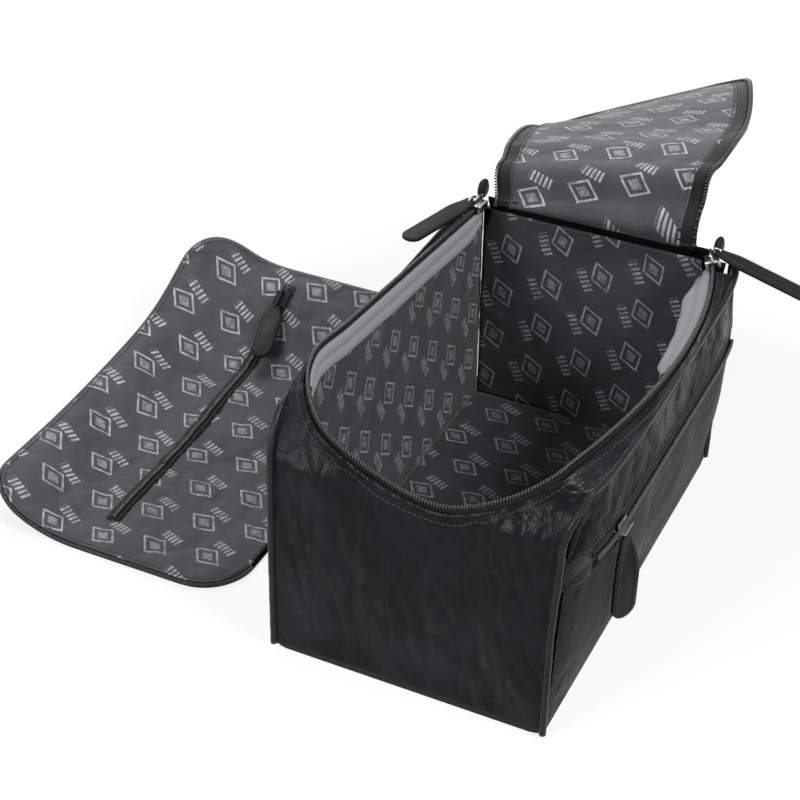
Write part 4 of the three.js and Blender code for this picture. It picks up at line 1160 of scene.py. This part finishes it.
def make_cover():
    skin = cover_sheet("cover_leather", 0, 1.1 * MM, 1.6 * MM, BODY, 0.0)
    rides(skin, "flap", "flap_leather")
    lining = cover_sheet("cover_print", 1.6 * MM, 3.1 * MM, 0.5 * MM, LINING, COVER_FOLDS)
    rides(lining, "flap", "flap_lining")
    near, far, middle = COVER_ZIP

    def on_print(x, y, lift):
        hold = smooth(min(x - COVER_NEAR, COVER_FAR - x) / (COVER_FAR - COVER_NEAR) / 0.07)
        return on_cover(x, y, lift + hold * cover_swell(x, middle, COVER_FOLDS))

    for name, side, node in (("cover_tape_a", 1, "flap_pocket_zip_outer"),
                             ("cover_tape_b", -1, "flap_pocket_zip_inner")):
        def half(u, v, side=side):
            y = middle + side * mix(0.2 * MM, 4.2 * MM, v)
            return on_print(mix(near, far, u), y, (4.3 - 0.5 * v) * MM)
        tape = sheet(name, (110, 4), half, TAPE, 0.5 * MM, (far - near, 4 * MM), True)
        rides(tape, "flap", node)
    across = [(x, middle) for x in np.linspace(near + MM, far - MM, 120)]
    for name, size, edge, surface, pitch, lift, material, nodes in (
            ("cover_edge_teeth", (TOOTH_LONG, 2.2 * MM, 1.2 * MM), cover_edge(0.6 * MM), on_cover,
             TOOTH_PITCH, 2.2 * MM, COIL, ["flap_zip_half"]),
            ("cover_stitches", LOW_STITCH, cover_edge(3.6 * MM), on_cover, 3.1 * MM, 3.7 * MM, THREAD, []),
            ("cover_teeth", (TOOTH_LONG, 3.4 * MM, 1.5 * MM), across, on_print,
             SMALL_TOOTH_PITCH, 4.9 * MM, COIL, [])):
        rides(bars(name, size, path_frames(edge, surface, pitch, lift), material), "flap", *nodes)


# Zips, sliders and pullers
def rim_frames(pitch, drop):
    """Frames along the rim: the second axis points up and the third one outward."""
    frames = []
    for p, along in inner_points(resample(RIM, pitch)):
        side = unit(np.cross(UP, along))
        if np.dot(side, p * vec(1, 1, 0)) < 0:
            side = -side
        frames.append((p - UP * drop, along, UP, side))
    return frames


def sew(name, obj, path):
    """A row of stitches that lies on a piece along a path."""
    found = [obj.closest_point_on_mesh(Vector(p)) for p in resample(path, 3.0 * MM)]
    points = [np.array(at) for _, at, _, _ in found]
    frames = []
    for (p, along), (_, _, normal, _) in zip(inner_points(points), found[1:]):
        up = unit(np.array(normal))
        side = unit(np.cross(up, along))
        frames.append((p + up * 0.1 * MM, unit(np.cross(side, up)), side, up))
    rides(bars(name, (2.0 * MM, 0.5 * MM, 0.45 * MM), frames, THREAD), "bag")


# Each kind of puller: length and width in mm, the neck's share of the width, twist in degrees and
# the strap's start in mm. Its wire loop: the centre's place ahead, half length, lift and half height
PULLER_SIZES = {"rim": (60, 12, 0.55, 0, -1), "pocket": (54, 15, 0.75, 32, 1.1), "flap": (42, 13, 0.4, 0, -1)}
LOOPS = {"rim": (0.1, 1.9, 0.3, 1.55), "pocket": (1.6, 1.2, -0.4, 0.7), "flap": (0.1, 1.9, 0.3, 1.55)}
# Each puller: solid, body, kind, eye in mm, the way along it and the way out of its face
PULLERS = [
    ("rim_puller_front", "front_rim_puller", "rim",
     (112.43, -73.13, 154.75), (0, -.966, -.259), (0, -.259, .966)),
    ("rim_puller_back", "back_rim_puller", "rim", (106.9, 73.7, 152.4), (-.972, .235, .01), (0, 0, 1)),
    ("pocket_puller", "pocket_zip_puller", "pocket", (-80, -94, 101.3), (0, 0, -1), (0, -1, 0)),
    ("flap_puller", "flap_zip_puller", "flap", (114.17, 208.99, 37.43), (-.928, -.206, -.309), (0, 0, 1)),
]


def puller_outline(long, wide, neck, start, inset):
    half = wide / 2 - inset
    thin = wide / 2 * neck - inset * 0.8
    start = start * MM + inset * 1.5
    bend = long * 0.25
    turns = np.linspace(-math.pi / 2, math.pi / 2, 16)
    end = [(long - wide / 2 + half * math.cos(t), half * math.sin(t)) for t in turns]
    low = [(mix(start, bend, k / 6), -mix(thin, half, smooth(k / 6))) for k in range(6)]
    low += [(x, -half) for x in np.linspace(bend, long - wide / 2, 12)[:-1]]
    return low + end + [(x, -y) for x, y in low[::-1]]


def make_puller(node, body, kind, at, along, up):
    long, wide, neck, twist, start = PULLER_SIZES[kind]
    long, wide = long * MM, wide * MM
    at = np.array(at) * MM
    x = unit(vec(*along))
    y = unit(np.cross(vec(*up), x))
    z = np.cross(x, y)

    def place(p, q, lift):
        turn = math.radians(twist) * smooth(p / (0.5 * long))
        clear = abs(math.sin(turn)) * wide * 0.35
        c, s = math.cos(turn), math.sin(turn)
        return at + x * p + y * (c * q - s * lift) + z * (s * q + c * lift + clear)

    def outline(inset):
        return puller_outline(long, wide, neck, start, inset)

    rings = ((outline(1.0 * MM), -1.2), (outline(0), -0.8), (outline(0), 0.8), (outline(1.0 * MM), 1.2))
    points = [place(p, q, lift * MM) for ring, lift in rings for p, q in ring]
    faces = ring_faces(len(rings), len(rings[0][0]))
    strap = face_out(mesh_piece("strap_" + node, points, faces, PULLER))
    round_edges(strap, 0.35 * MM, 2, 30)
    rides(bake(strap), body, node)
    for lift, name in ((1.25 * MM, "face"), (-1.25 * MM, "under")):
        frames = path_frames(outline(2.2 * MM), place, 2.4 * MM, lift)
        rides(bars(f"sewn_{name}_{node}", (1.6 * MM, 0.55 * MM, 0.5 * MM), frames, THREAD), body)
    ahead, reach, lift, rise = (value * MM for value in LOOPS[kind])
    loop = []
    for t in np.linspace(0, 2 * math.pi, 29)[:-1]:
        c, s = [math.copysign(abs(value) ** 0.6, value) for value in (math.cos(t), math.sin(t))]
        loop.append(place(ahead + reach * c, 0, lift + rise * s))
    metal = {"rim": SILVER, "pocket": GUNMETAL, "flap": BLACK_METAL}[kind]
    rides(cord_mesh("loop_" + node, loop, 0.55 * MM, metal, 8, closed=True), body)


def make_sliders():
    for node, body, material in (("rim_slider_front", "front_rim_slider", SILVER),
                                 ("rim_slider_back", "back_rim_slider", SILVER),
                                 ("pocket_slider", "pocket_zip_slider", GUNMETAL),
                                 ("flap_slider", "flap_zip_slider", BLACK_METAL)):
        soft(node, "metal_" + node, material, body, cuts=0, bevel=0.45 * MM)
    for values in PULLERS:
        make_puller(*values)


def make_zips():
    soft("rim_zip_tape", "rim_tape", TAPE, cuts=2)
    rim = rim_frames(TOOTH_PITCH, 1.3 * MM)
    rides(bars("rim_teeth", (TOOTH_LONG, 2.6 * MM, 1.9 * MM), rim, COIL), "bag", "rim_zip_teeth")
    for half in ("upper", "lower"):
        soft("pocket_zip_" + half, "pocket_tape_" + half, TAPE)
    z = 0.104
    path = [vec(x, face_y(-1, x, z) - 1.2 * MM, z) for x in np.linspace(-0.109, 0.107, 140)]
    frames = [(p, along, UP, unit(np.cross(along, UP)))
              for p, along in inner_points(resample(path, SMALL_TOOTH_PITCH))]
    rides(bars("pocket_teeth", (TOOTH_LONG, 3.6 * MM, 2.0 * MM), frames, COIL), "bag")
    soft("back_zip_half", "back_tape", TAPE)
    soft("back_floor_strip", "floor_strip_leather", BODY, cuts=2, bevel=0.3 * MM)


make_camera()
make_body()
make_inside()
make_lid()
make_cover()
make_zips()
make_sliders()
make_stage()
for light in LIGHTS:
    make_light(*light)
make_world()
